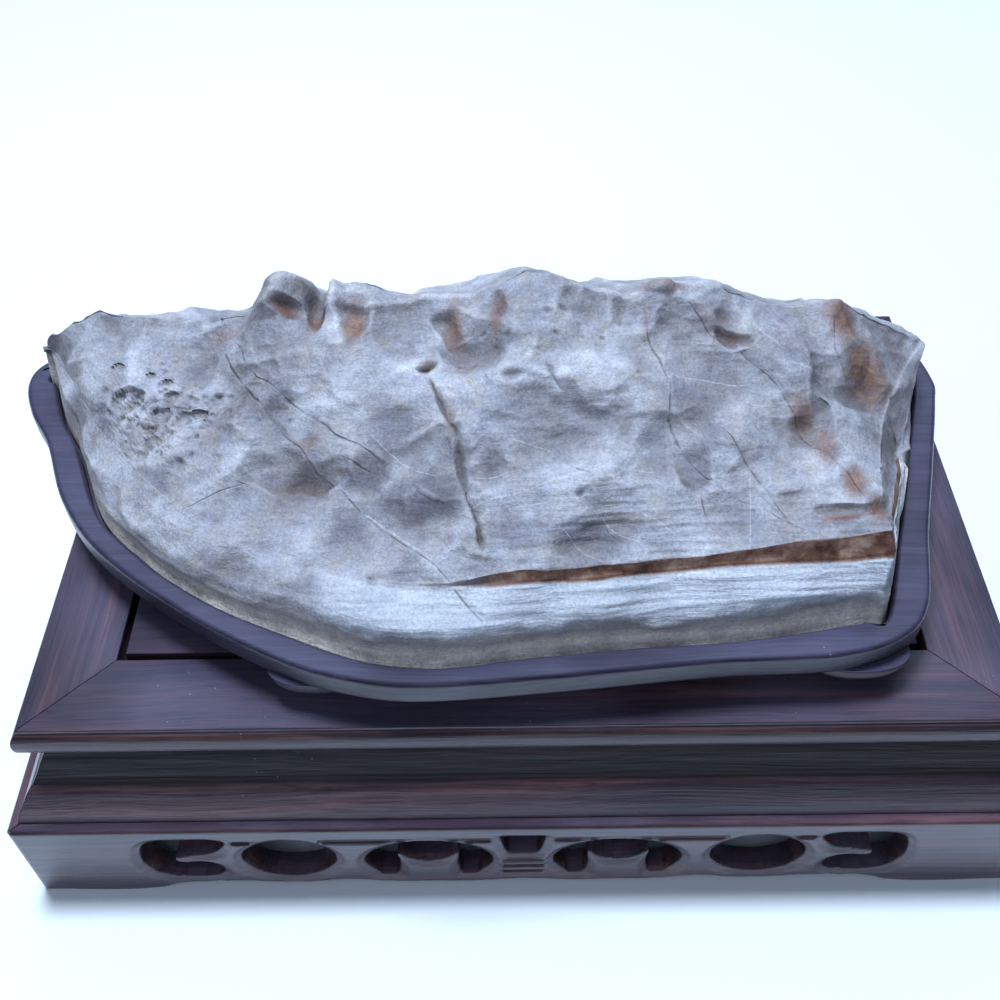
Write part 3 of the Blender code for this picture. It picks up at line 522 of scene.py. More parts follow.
def turn_outward(points, faces):
    """The faces of a closed shape, all turned round if its volume comes out negative."""
    points = np.asarray(points)
    volume = 0.0
    for size in {len(face) for face in faces}:
        group = points[np.array([face for face in faces if len(face) == size])]
        for i in range(1, size - 1):
            volume += np.einsum("ij,ij->i", group[:, 0], np.cross(group[:, i], group[:, i + 1])).sum()
    return faces if volume > 0 else [face[::-1] for face in faces]


def add_piece(name, points, faces, replaced, material, sharp=None, values=None):
    """A mesh from points in millimetres and faces, with its material, its ride and the node it replaces.

    sharp is the angle in degrees over which an edge stays crisp, and values are numbers kept at its points.
    """
    points = np.asarray(points).reshape(-1, 3)
    data = bpy.data.meshes.new(name)
    data.from_pydata(place(points), [], turn_outward(points, faces))
    for layer, numbers in (values or {}).items():
        numbers = np.ascontiguousarray(numbers, dtype=np.float32).ravel()
        data.attributes.new(layer, "FLOAT", "POINT").data.foreach_set("value", numbers)
    data.materials.append(material)
    data.shade_smooth()
    if sharp:
        data.set_sharp_from_angle(angle=math.radians(sharp))
    data.validate()
    piece = bpy.data.objects.new(name, data)
    bpy.context.collection.objects.link(piece)
    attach(piece, "root")
    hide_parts(replaced)


def hex_colour(code):
    """An sRGB hex colour as the linear values that a shader takes."""
    parts = [int(code[i:i + 2], 16) / 255 for i in (0, 2, 4)]
    return (*[v / 12.92 if v <= 0.04045 else ((v + 0.055) / 1.055) ** 2.4 for v in parts], 1.0)


def new_material(name):
    """An empty node material and its Principled shader."""
    material = bpy.data.materials.new(name)
    material.use_nodes = True
    return material, material.node_tree.nodes["Principled BSDF"]


def fill_sockets(material, node, sockets):
    """Fills a node's sockets, by number or name, from values, hex colours or other nodes' outputs."""
    for key, value in dict(sockets if isinstance(sockets, dict) else enumerate(sockets)).items():
        if isinstance(value, bpy.types.NodeSocket):
            material.node_tree.links.new(value, node.inputs[key])
        else:
            node.inputs[key].default_value = hex_colour(value) if isinstance(value, str) else value


def add_node(material, kind, sockets=(), read=0, stops=(), **settings):
    """Adds a node with its settings and links, and returns the output that is read from it.

    stops are a colour ramp's places and hex colours.
    """
    node = material.node_tree.nodes.new("ShaderNode" + kind)
    for key, value in settings.items():
        setattr(node, key, value)
    fill_sockets(material, node, sockets)
    if stops:
        elements = node.color_ramp.elements
        while len(elements) < len(stops):
            elements.new(0.5)
        for element, (spot, code) in zip(elements, stops):
            element.position = spot
            element.color = hex_colour(code)
    return node.outputs[read]


def lay_over(material, base, *layers):
    """Lays colours over a base: each layer is a kind of blend, a colour, and factors.

    The layer's share is the product of its factors, and 1 without any. A factor is a number, an output,
    or an output with the two ends it runs between and what it becomes there.
    """
    for kind, colour, *factors in layers:
        share = 1.0
        for factor in factors:
            if isinstance(factor, tuple):
                factor = add_node(material, "MapRange", factor)
            share = add_node(material, "Math", (share, factor), operation="MULTIPLY")
        sockets = {0: share, 6: base, 7: colour}
        base = add_node(material, "Mix", sockets, 2, data_type="RGBA", blend_type=kind)
    return base


def limestone_material():
    """Weathered bedded limestone: matt, bluish grey where clean, rusty brown in its hollows and joints.

    The surface is a dissolved and sand-worn skin, so it has no gloss, a grain of about half a
    millimetre, faint bedding lines, dark cracks and thin pale calcite threads.
    """
    material, shader = new_material("weathered_limestone")
    add = partial(add_node, material)
    value = {name: add("Attribute", (), "Fac", attribute_name=name) for name in STONE_VALUES}
    spot = add("TexCoord", (), "Object")
    beds = add("Mapping", {"Vector": spot, "Rotation": (0.62, 0.03, 0.03), "Scale": (34, 300, 900)})
    # Cloudy noises, whose lumps are about 1 / scale metres wide
    weather, blotches, grain, lines = (
        add("TexNoise", {"Vector": where, "Scale": scale, "Detail": detail, "Roughness": roughness})
        for where, scale, detail, roughness in (
            (spot, 42, 9, 0.66), (spot, 150, 6, 0.65), (spot, 1100, 4, 0.75), (beds, 1, 6, 0.62),
        )
    )
    base, foot, stain, wall = (
        add("ValToRGB", (field,), stops=stops)
        for field, *stops in (
            (weather, (0.36, "8b8e9b"), (0.46, "a3a8b5"), (0.55, "b4bac7"), (0.66, "c8ced9")),
            # Painted light: the foot's wall, which lies in shade under the seat's rim, gets a near-white
            # colour
            (blotches, (0.35, "d2cdc8"), (0.6, "f6f1ea")),
            (blotches, (0.32, "5c4138"), (0.5, "7f6256"), (0.68, "978273")),
            (blotches, (0.38, "5b3d33"), (0.5, "8b6a59"), (0.62, "b59c8c")),
        )
    )
    tint = add("MapRange", (blotches, 0.42, 0.66))
    soak = add("Math", (blotches, 0.28), operation="ADD")
    rust = add("Math", (value["rust"], soak), operation="MULTIPLY")

    # The threads, the cracks and the small holes, each thinned out by two other fields
    marks = []
    for field, low, high, *factors in (
        (add("Math", (value["thread"],), operation="ABSOLUTE"), 0.1, 0.8,
         value["thread_share"], add("MapRange", (grain, 0.4, 0.6, 0.3, 1.0))),
        (add("Math", (value["crack"],), operation="ABSOLUTE"), 0.1, 0.85,
         value["crack_share"], add("MapRange", (blotches, 0.4, 0.6, 0.1, 1.0))),
        (add("TexVoronoi", {"Vector": spot, "Scale": 330, "Randomness": 1.0}), 0.12, 0.34,
         value["pitted"], tint),
    ):
        mark = add("MapRange", (field, low, high, 1.0, 0.0), interpolation_type="SMOOTHSTEP")
        for factor in factors:
            mark = add("Math", (mark, factor), operation="MULTIPLY")
        marks.append(mark)
    thread, crack, holes = marks

    # From the clean stone over painted shade on steep faces, in the dark patches and in concave and low
    # places, a painted highlight on raised edges, the ledge, the foot's painted light and rust to the marks
    # and the rusty wall with its joint
    base = lay_over(
        material, base,
        ("MIX", "b5ab9c", tint, 0.35),
        # Painted shade: steep faces darker, except on the foot and the ledge
        ("MIX", "7b7678", (value["steep"], 0.15, 0.95, 0.0, 0.45),
         (value["foot"], 0.0, 1.0, 1.0, 0.0), (value["ledge"], 0.0, 1.0, 1.0, 0.0)),
        # Painted shade from the table of dark patches
        ("MIX", "626370", value["painted_shade"], (blotches, 0.3, 0.6, 0.6, 0.95)),
        # Painted shade in concave places
        ("MIX", "5f584f", (value["cavity"], 0.08, 1.0, 0.0, 0.5)),
        # Painted highlight on raised edges
        ("MIX", "dcdbe0", (value["cavity"], -0.1, -1.0, 0.0, 0.3)),
        # Painted shade in the low places of the relief
        ("MIX", "6b6667", value["deep"], 0.45),
        ("MIX", "c9d6e4", value["ledge"], 0.55),
        # The foot's near-white colour, painted light
        ("MIX", foot, value["foot"]),
        ("MIX", stain, (rust, 0.08, 0.75, 0.0, 0.92)),
        ("MULTIPLY", add("MapRange", (value["tone"], -2.0, 2.0, 0.68, 1.3))),
        ("MULTIPLY", add("MapRange", (grain, 0.34, 0.68, 0.74, 1.16))),
        ("MULTIPLY", add("MapRange", (lines, 0.3, 0.7, 0.86, 1.12))),
        ("MIX", "e2e4ea", thread, 0.45),
        ("MIX", "4c4643", crack, 0.5),
        ("MIX", "4c4541", holes, 0.8),
        ("MIX", wall, value["wall"], (lines, 0.35, 0.6, 1.0, 0.75)),
        ("MIX", "33201b", value["joint"], 0.75),
    )

    # The bump adds up grain, blotches, bedding, cracks and holes, each with its weight
    relief = grain
    bedding = add("MapRange", (value["bedded"], 0.0, 1.0, 0.5, 1.8))
    for height, weight in ((blotches, 0.6), (lines, bedding), (crack, -1.0), (holes, -2.5)):
        relief = add("Math", (height, weight, relief), operation="MULTIPLY_ADD")
    fill_sockets(material, shader, {
        "Base Color": base, "Roughness": 0.88, "Specular IOR Level": 0.25,
        "Normal": add("Bump", {"Strength": 0.8, "Distance": 0.0006, "Height": relief}),
    })
    return material


def wood_material(name, turn, dark, mid, light, sheen, scale=1.0):
    """Dense dark rosewood-like hardwood, planed, stained and waxed, its grain turned from x by an angle.

    Fine pores run with the grain as broken dark lines about half a millimetre apart, wider bands of
    brown and purple show the growth rings, and the wax gives a soft satin gloss.
    """
    material, shader = new_material(name)
    add = partial(add_node, material)
    wear_and_shading, sap = (add("Attribute", (), "Fac", attribute_name=layer) for layer in ("wear_and_shading", "sap"))
    spot = add("TexCoord", (), "Object")
    run = add("Mapping", {"Vector": spot, "Rotation": (0, 0, turn)})
    sway = add("TexNoise", {"Vector": run, "Scale": 9, "Detail": 2}, "Color")
    drift = add("Mix", {0: 0.011, 6: run, 7: sway}, 2, data_type="RGBA", blend_type="ADD")
    patches = add("TexNoise", {"Vector": run, "Scale": 22, "Detail": 3})
    bands, pores, streaks = (
        add("TexNoise", {
            "Vector": add("Mapping", {"Vector": drift, "Scale": (along, across * scale, across * scale)}),
            "Scale": 1, "Detail": detail, "Roughness": roughness,
        })
        for along, across, detail, roughness in ((6, 150, 4, 0.55), (55, 1500, 3, 0.6), (13, 560, 5, 0.65))
    )
    # Painted shading over the grain, then sapwood in the seat's feet, and dust and pale crumbs on what faces
    # up
    up = add("SeparateXYZ", (add("NewGeometry", (), "Normal"),), "Z")
    crumbs = add("TexVoronoi", {"Vector": spot, "Scale": 380, "Randomness": 1.0})
    base = lay_over(
        material, add("ValToRGB", (bands,), stops=((0.25, dark), (0.5, mid), (0.8, light))),
        ("MULTIPLY", add("MapRange", (streaks, 0.32, 0.66, 0.5, 1.35))),
        ("MULTIPLY", add("MapRange", (pores, 0.36, 0.5, 0.5, 1.0))),
        ("MULTIPLY", add("MapRange", (patches, 0.3, 0.7, 0.8, 1.15))),
        # Darker or lighter by each piece's own value: painted shade in the waist's hollow, painted light on
        # the swell, darker seat sides and rail fronts, lighter apron top edges
        ("MULTIPLY", add("MapRange", (wear_and_shading, -1.0, 1.0, 0.1, 2.3))),
        ("MIX", "8d8170", sap),
        ("MIX", "a6acc4", (up, 0.7, 1.0), (patches, 0.35, 0.65, 0.06, 0.15)),
        ("MIX", "cdd6e2", (crumbs, 0.04, 0.08, 0.5, 0.0), (up, 0.2, 0.5), (patches, 0.6, 0.64)),
    )
    relief = add("Math", (pores, streaks), operation="ADD")
    bump = add("Bump", {"Strength": 0.5, "Distance": 0.0002, "Height": relief})
    fill_sockets(material, shader, {
        "Base Color": base, "Normal": bump, "Coat Normal": bump,
        "Roughness": add("MapRange", (streaks, 0.3, 0.7, sheen + 0.12, sheen - 0.04)),
        "Coat Weight": add("MapRange", (wear_and_shading, -0.8, 0.0, 0.12, 0.95)),
        "Specular IOR Level": 0.5, "Coat IOR": 1.5, "Coat Roughness": 0.26, "Coat Tint": "e3e4fc",
    })
    return material


def descent(gone, wall, rise):
    """0 before a crest, falling to -1 over the wall's length, then easing back to 0 over the rise."""
    down = 0.3 * smooth(gone, -0.1 * wall, wall) + 0.7 * np.clip(gone / wall, 0, 1)
    return -down * (1 - smooth(gone, wall, wall + rise))


def dip(x, y, wall_x, wall_y, half_width, wall, rise, turn, depth):
    """The height of a dip with a wall on its far side, which fades out to both sides."""
    across, up = turned(x, y, wall_x, wall_y, turn)
    share = np.clip(1 - (across / half_width) ** 2, 0, 1)
    down = wall / 2 - up + 0.35 * wall * (1 - np.sqrt(share))
    return depth * descent(down, wall, rise * np.maximum(share, 0.2)) * share**0.7


def facets(x, y, size, seed):
    """Shallow scallops that meet in crisp ridges, one to a cell, and each scallop's own tone.

    A place takes the lowest of the bowls round it: a tilted plane plus the square of the distance from
    the bowl's seed point.
    """
    draw = np.random.default_rng(seed).uniform(-1, 1, (64, 64, 5))
    column, row = np.floor(x / size).astype(int), np.floor(y / size).astype(int)
    height = np.full_like(x, 1e6)
    tone = np.zeros_like(x)
    for i in (-1, 0, 1):
        for j in (-1, 0, 1):
            seed_values = draw[(row + j) % 64, (column + i) % 64]
            away_x = x / size - (column + i + 0.5 + 0.45 * seed_values[:, :, 0])
            away_y = y / size - (row + j + 0.5 + 0.45 * seed_values[:, :, 1])
            tilt = 0.6 * (away_x * seed_values[:, :, 2] + away_y * seed_values[:, :, 3])
            bowl = tilt + 0.35 * seed_values[:, :, 4] + 1.1 * (away_x**2 + away_y**2)
            tone = np.where(bowl < height, seed_values[:, :, 4], tone)
            height = np.minimum(bowl, height)
    return height, tone


def stone_section(u, row):
    """The stone's surface where fractions u of its length meet rows of its section.

    A row's whole number is its stretch, from the front wall to the back wall, and the rest is how far
    along that stretch the row lies. Each stretch is a straight or bowed line between two long curves.
    """
    curves = (STONE_FRONT, LEDGE_BACK, RIDGE, STONE_BACK)
    spread = [line[0][0] + u * (line[-1][0] - line[0][0]) for line in curves]
    front, ledge, ridge, back = (read_curve(line, places) for line, places in zip(curves, spread))
    foot_top = read_curve(FOOT_TOP, spread[0])[:, 1]
    back_top = read_curve(BACK_TOP, spread[3])[:, 1]
    rise = read_curve(STEP_RISE, spread[1])[:, 1]
    base = np.full_like(u, STONE_BASE)
    knots = np.array([
        np.column_stack((front, base)),
        np.column_stack((front[:, 0], front[:, 1] + FRONT_LEAN, foot_top)),
        ledge,
        ledge + np.column_stack((0 * rise, 0.4 * rise, rise)),
        ridge,
        np.column_stack((back[:, 0], back[:, 1] - BACK_WALL_LEAN, back_top)),
        np.column_stack((back, base)),
    ])
    stretch = np.minimum(row.astype(int), BACK_WALL)
    t = (row - stretch)[:, None, None]
    spot = knots[stretch] * (1 - t) + knots[stretch + 1] * t
    kind = stretch[:, None]
    t = t[:, :, 0]
    undercut = np.where(kind == STEP, np.sin(math.pi * np.sqrt(t)) * np.clip(rise - 1.2, 0, UNDERCUT), 0)
    bow = 4 * t * (1 - t)
    near_end = np.clip((u - SCOOP_START) / (1 - SCOOP_START), 0, 1) ** 2
    spot[:, :, 0] -= np.where(kind == FACE, RIGHT_SCOOP * bow * near_end, 0)
    crest = 0.4 * noise(spread[2] / 2.2, spread[2] * 0, 15)
    for middle, half_width, height in CREST:
        crest += height * np.exp(-(((spread[2] - middle) / half_width) ** 2))
    near_ridge = np.where(kind == FACE, t**7, np.where(kind == BACK, (1 - t) ** 3, 0))
    spot[:, :, 2] += crest * near_ridge
    spot[:, :, 1] += undercut + np.where(kind == BACK, BACK_BOW[0] * bow, 0)
    bow_up = np.select([kind == FACE, kind == BACK], [FACE_BOW * bow, BACK_BOW[1] * bow])
    spot[:, :, 2] += bow_up - 0.3 * undercut
    return spot


def stone_cap(section, outward, depth, power, columns, lean=(0.0, 1.0)):
    """Columns that close an end: the section drawn in to its middle while it swells outwards.

    lean takes its first value's share of the swell away over its second value's height.
    """
    middle = (section.min(axis=0) + section.max(axis=0)) / 2
    drawn = np.linspace(0, 1, columns + 1)[1:-1, None, None] ** 2
    upright = 1 - lean[0] * np.clip((section[:, 2:] - SEAT_TOP) / lean[1], 0, 1)
    swell = depth * (1 - (1 - drawn) ** power) ** (1 / power) * upright
    return middle + (section - middle) * (1 - drawn) + np.array(outward) * swell


def stone_grid():
    """Rings of the stone from its left end to its right end, each a closed section, and their rows."""
    rows = np.concatenate([k + np.arange(n) / n for k, n in enumerate(SECTION_ROWS)] + [[BACK_WALL + 1.0]])
    body = stone_section(np.linspace(0, 1, STATIONS), rows).transpose(1, 0, 2)
    left = stone_cap(body[0], (-0.97, 0.24, 0.0), *LEFT_CAP)[::-1]
    right = stone_cap(body[-1], (0.95, -0.31, 0.0), *RIGHT_CAP, RIGHT_LEAN)
    return np.concatenate((left, body, right)), rows


def stone_relief(x, y):
    """Height of the stone's lumps, hollows, troughs, broken beds and waves at places seen from above."""
    height = np.zeros_like(x)
    for middle_x, middle_y, long, short, turn, depth in HOLLOWS:
        gone = oval_distance(*turned(x, y, middle_x, middle_y, turn), 0, 0, long, short)
        height -= depth * np.clip(1 - gone, 0, 1) ** 1.5
    bent_x, bent_y = x + 1.1 * noise(x / 6, y / 6, 1), y + 1.1 * noise(x / 6, y / 6, 2)
    for values in DIPS:
        height += dip(bent_x, bent_y, *values)
    for drop, wall, rise, path in SCARPS:
        gone, side, inside = path_distance(bent_x, bent_y, path)
        height += drop * descent(side * gone, wall, rise) * smooth(inside + 3 * (side > 0), 0.0, 8.0)
    for middle_x, middle_y, half_width, half_length, depth in PITS:
        gone = oval_distance(bent_x, bent_y, middle_x, middle_y, half_width, half_length)
        down = np.clip((bent_y - middle_y) / half_length, -1, 1)
        height -= 0.5 * depth * smooth(1 - gone, 0.0, 0.5 - 0.3 * down) * (0.7 + 0.3 * down)
    for half_width, path in CRACKS:
        gone, _, inside = path_distance(x, y, path)
        deep = OPEN_CRACK_DEPTH if half_width > 0.7 else HAIR_CRACK_DEPTH
        height -= deep * np.exp(-((gone / max(half_width, 0.6)) ** 2)) * smooth(inside, 0.0, 3.0)
    for long_x, long_y, start, size in WAVES:
        height += size * np.sin(2 * math.pi * (x / long_x + y / long_y) + start)
    return height


def back_relief(x, z):
    """How far the stone's back stands out: beds that step in and out, and upright lumps and hollows."""
    share = np.clip((x - RIDGE[0][0]) / (RIDGE[-1][0] - RIDGE[0][0]), 0, 1)
    out = np.zeros_like(x)
    for left, right, size in BACK_BEDS:
        out += size * np.tanh((z - left - (right - left) * share - 2.0 * np.sin(x / 13.0)) / 1.5)
    for middle, width, size in BACK_LUMPS:
        out += size * np.exp(-(((x - middle - 0.5 * (z - 110.0)) / width) ** 2))
    return out


def carve(grid):
    """The stone's rings with their relief, which fades out above the seat."""
    x, y, z = np.moveaxis(grid, 2, 0)
    clear = np.clip((z - SEAT_TOP - 3.0) / 7.0, 0, 1)
    behind = np.clip((y - read_curve(RIDGE, x.ravel())[:, 1].reshape(x.shape) - 3.0) / 9.0, 0, 1)
    face = (stone_relief(x, y) * clear * (1 - behind))[:, :, None] * np.array(RELIEF_LEAN)
    back = (back_relief(x, z) * clear * behind)[:, :, None] * np.array(BACK_LEAN)
    return grid + face + back


def surface_normals(grid):
    """Unit normals of a grid of closed rings, from its differences along and around."""
    normal = np.cross(np.gradient(grid, axis=0), np.roll(grid, -1, axis=1) - np.roll(grid, 1, axis=1))
    return normal / np.maximum(np.linalg.norm(normal, axis=2), 1e-9)[:, :, None]


def blur(field, times, across=True):
    """The field, a grid of rings, with each value drawn towards its neighbours' mean a number of times.

    The neighbours are those round the ring and, with across, those on the rings beside.
    """
    for _ in range(times):
        field = (2 * field + np.roll(field, 1, axis=1) + np.roll(field, -1, axis=1)) / 4
        if across:
            ends = np.concatenate((field[:1], field, field[-1:]))
            field = (ends[:-2] + 2 * field + ends[2:]) / 4
    return field


def soften_edge(grid, rows):
    """The rings with two arrises worn off: the ledge's lower one, and where the step dies out at the left.

    Points are drawn towards their neighbours' mean there.
    """
    lip = np.exp(-(((rows - LEDGE) / np.where(rows < LEDGE, 0.5, 0.2)) ** 2))[None, :]
    near_step = smooth(rows, LEDGE + 0.3, LEDGE + 0.8) * (1 - smooth(rows, FACE + 0.05, FACE + 0.3))
    step_end = smooth(-grid[:, :, 0], 14.0, 26.0) * near_step[None, :]
    return grid + (blur(grid, 22, across=False) - grid) * np.maximum(lip, step_end)[:, :, None]


def stone_parts(x, y, row):
    """Each point's shares, 0 to 1, in the face, the ledge, the step, the bedded and the pitted parts."""
    upper = smooth(row, FACE - 0.1, FACE + 0.1) * (1 - smooth(row, BACK, BACK + 0.3))
    ledge = smooth(row, LEDGE - 0.2, LEDGE + 0.15) * (1 - smooth(row, STEP - 0.1, STEP))
    step = smooth(row, STEP - 0.05, STEP + 0.05) * (1 - smooth(row, FACE - 0.05, FACE + 0.02))
    step = step * smooth(x, -20.0, -6.0)
    low_face = upper * (1 - smooth(y, 46.0, 64.0)) * smooth(x, -20.0, 10.0)
    bedded = np.clip(ledge * smooth(x, -60.0, -40.0) + 0.5 * low_face, 0, 1)
    pitted = upper * np.exp(-(oval_distance(x, y + 0.25 * (x + 104.0), -104.0, 90.0, 24.0, 12.0) ** 2))
    return upper, ledge, step, bedded, pitted


def fine_relief(x, y, z, row, parts):
    """Height of the stone's finer relief along its own normals, and the tone of its facets.

    It is a sum of chipped facets, bedding, lumpy noise that halves in height and size, and a scatter of
    pits, each weighted by where it shows on the real stone.
    """
    upper, ledge, step, bedded, pitted = parts
    wear_and_shading = smooth(x, -85.0, -70.0) * (1 - smooth(x, -40.0, -30.0)) * (1 - smooth(y, 55.0, 62.0)) * upper
    lean = y + 0.9 * z - 0.05 * x - 2.5 * noise(x / 60, y / 30, 3)
    strata = noise(x / 26, lean / 1.3, 11) + 0.7 * noise(x / 11, lean / 0.75, 12)
    warp_x, warp_y = x + 2.6 * noise(x / 7, y / 7, 51), y + 0.7 * z + 2.6 * noise(x / 7, y / 7, 52)
    large, large_tone = facets(warp_x, warp_y, 14.0, 53)
    small, small_tone = facets(warp_x, warp_y, 5.5, 54)
    tone = (0.8 * large_tone + 0.35 * small_tone) * (1 - 0.6 * bedded) * upper
    for *oval, share in PALE:
        tone += share * np.exp(-oval_distance(x, y, *oval))
    height = 0.32 * strata * bedded + 0.03 * strata
    chipped = 0.85 * upper + 0.5 * (1 - upper) + 0.7 * smooth(row, BACK, BACK + 0.2)
    height += (2.3 * large + 0.55 * small - 0.9) * chipped * (1 - 0.85 * wear_and_shading) * (1 - 0.8 * bedded)
    height += 0.18 * rough(x, lean, 12.0, 21)
    height += 0.09 * rough(x, lean, 3.0, 31, 3) * (1 - 0.5 * wear_and_shading) * (1 + 3.0 * pitted)
    lip = np.exp(-(((row - LEDGE) / 0.16) ** 2))
    height += lip * (0.5 * facets(x, lean, 7.0, 55)[0] + 0.2 * rough(x, lean, 5.0, 56, 3) - 0.3)
    height += 0.25 * rough(x, z, 7.0, 57, 3) * (1 - smooth(row, LEDGE - 0.1, LEDGE + 0.1))
    return height - pit_field(x, y) * upper, tone


def make_stone(material):
    """The stone: the section's rings with their named relief, then finer relief along each point's normal."""
    grid, rows = stone_grid()
    grid = soften_edge(carve(grid), rows)
    x, y, z = np.moveaxis(grid, 2, 0)
    row = np.broadcast_to(rows, x.shape)
    parts = stone_parts(x, y, row)
    fine, tone = fine_relief(x, y, z, row, parts)
    fine = fine * smooth(z, SEAT_TOP + 0.5, SEAT_TOP + 4.0)
    shape = grid + outward_normals(grid, parts[0]) * fine[:, :, None]
    values = stone_values(shape, x, y, row, parts)
    values["tone"] = tone

    # The rings closed by a fan of triangles at each end
    rings, around = shape.shape[:2]
    points = np.vstack((shape.reshape(-1, 3), shape[0].mean(axis=0), shape[-1].mean(axis=0)))
    j = np.arange(around)
    k = (j + 1) % around
    last = (rings - 1) * around
    fans = (
        np.column_stack((np.full(around, len(points) - 2), k, j)),
        np.column_stack((np.full(around, len(points) - 1), last + j, last + k)),
    )
    faces = ring_faces(rings, around) + np.vstack(fans).tolist()
    values = {name: np.append(values[name].ravel(), (0.0, 0.0)) for name in STONE_VALUES}
    add_piece("stone_skin", points, faces, "stone", material, values=values)


def outward_normals(grid, upper):
    """Unit normals of the stone's rings, turned so that its upper face looks up."""
    normal = surface_normals(grid)
    return normal * np.sign((normal[:, :, 2] * upper).sum())


def pit_field(x, y):
    """Depth of the small pits: a seeded scatter, thickest round the worn patch near the stone's left end."""
    draw = np.random.default_rng(5)
    depth = np.zeros_like(x)
    for patch_x, patch_y, reach_x, reach_y, count, size in PIT_PATCHES:
        for _ in range(count):
            middle_x, middle_y = draw.normal((patch_x, patch_y), (reach_x / 2, reach_y / 2))
            radius = size * draw.uniform(0.6, 1.7)
            gone = np.hypot(x - middle_x, (y - middle_y) * draw.uniform(1.0, 1.8)) / radius
            depth = np.maximum(depth, radius * 0.5 * np.clip(1 - gone**2, 0, 1))
    return depth


def stone_values(shape, x, y, row, parts):
    """What the stone's colouring reads at each point, from its own shape and features.

    These are shares of rust, painted shade patches, lowness, steepness, hollow or raised edge, ledge and
    foot, and where the cracks and threads run.
    """
    upper, ledge, step, bedded, pitted = parts
    wall = step * smooth(x, -14.0, 6.0)
    rust = step
    for *oval, share in RUST:
        rust = np.maximum(rust, share * np.exp(-(oval_distance(x, y, *oval) ** 1.5)) * upper)
    # Painted shade: dark patches where the hollows and steep facets lie in shade
    painted_shade = np.zeros_like(x)
    near_x, near_y = x + 1.8 * rough(x, y, 6.0, 71, 3), y + 1.8 * rough(x, y, 6.0, 75, 3)
    for *oval, share in PAINTED_SHADE:
        edge = 1 - smooth(oval_distance(near_x, near_y, *oval), 0.35, 1.5)
        painted_shade = np.maximum(painted_shade, 0.62 * share * edge * upper)
    normal = outward_normals(shape, upper)
    # Concave and raised places, which the colouring turns into painted shade and a painted highlight
    cavity = np.einsum("ijk,ijk->ij", blur(shape, 5) - shape, normal)
    bent_x, bent_y = x + 0.2 * noise(x / 5, y / 5, 8), y + 0.2 * noise(x / 5, y / 5, 9)
    crack, crack_share = line_field(bent_x, bent_y, CRACKS)
    thread, thread_share = line_field(x + 0.2 * noise(x / 3, y / 3, 6), y, THREADS)
    open_face = np.clip(upper + ledge, 0, 1)
    return {
        "rust": np.clip(rust, 0, 1), "wall": wall, "painted_shade": painted_shade,
        # How low the relief lies, which the colouring turns into painted shade
        "deep": np.clip(-stone_relief(x, y) / 5.0, 0, 1) * upper,
        "steep": 1 - smooth(normal[:, :, 2], 0.35, 0.9), "cavity": np.clip(cavity / 0.45, -1, 1),
        "ledge": ledge * smooth(x, -60.0, -45.0), "foot": 1 - smooth(row, LEDGE - 0.75, LEDGE),
        "bedded": bedded, "pitted": pitted, "joint": np.exp(-(((row - STEP - 0.06) / 0.07) ** 2)) * wall,
        "crack": crack, "crack_share": crack_share * open_face,
        "thread": thread, "thread_share": thread_share * open_face,
    }


def seat_recess(count):
    """The outline of the stone's foot with the seat's play round it."""
    grid, _ = stone_grid()
    outline = np.vstack((grid[:, 0, :2], grid[::-1, -1, :2]))
    return grow_loop(even_points(outline, count), SEAT_PLAY)


def make_seat(material):
    """The seat: a profile carried round its outline, from its underside over the rim to the recess."""
    rim = closed_curve(SEAT_OUTLINE, RIM_POINTS)
    recess = seat_recess(RIM_POINTS)
    bottom = SEAT_TOP - SEAT_BAND
    # Each ring of the profile: the loop it follows, how far outside it, and its height
    profile = [(rim, -6.0, bottom), (rim, -2.6, bottom + 0.1)]
    for turn in np.radians(np.linspace(90, 0, 7)):
        profile.append((rim, -2.2 * (1 - math.cos(turn)), bottom + 2.4 - 2.3 * math.sin(turn)))
    for turn in np.radians(np.linspace(0, 90, 8)):
        profile.append((rim, -RIM_ROUND * (1 - math.cos(turn)), SEAT_TOP - RIM_ROUND * (1 - math.sin(turn))))
    profile += [(rim, -2.6, SEAT_TOP - 0.05), (recess, 1.2, SEAT_TOP - 0.1), (recess, 0.5, SEAT_TOP - 0.25)]
    profile += [(recess, 0.1, SEAT_TOP - 0.8), (recess, 0.0, SEAT_FLOOR)]
    rings = stack_loops([grow_loop(loop, out) for loop, out, _ in profile], [z for _, _, z in profile])
    x, y, z = np.moveaxis(rings, 2, 0)
    rings[:, :, 2] += 0.12 * rough(x, y, 14.0, 61, 3) * smooth(z, bottom + 3, SEAT_TOP - 1.0)
    # The side band and underside made darker and less glossy than the rim's top
    under_edge = 1 - smooth(z, SEAT_TOP - 2.2, SEAT_TOP - 0.5)
    values = {"wear_and_shading": (0.16 * rough(x, y, 20.0, 63, 3) - 0.42) * under_edge}
    faces = tube_faces(len(profile), RIM_POINTS)
    add_piece("seat_body", rings, faces, "fitted_seat", material, sharp=50, values=values)
    for number, (spot, sap) in enumerate(zip(SEAT_FEET, SEAT_SAP)):
        make_seat_foot("seat_foot_%d" % (number + 1), spot, sap, material)


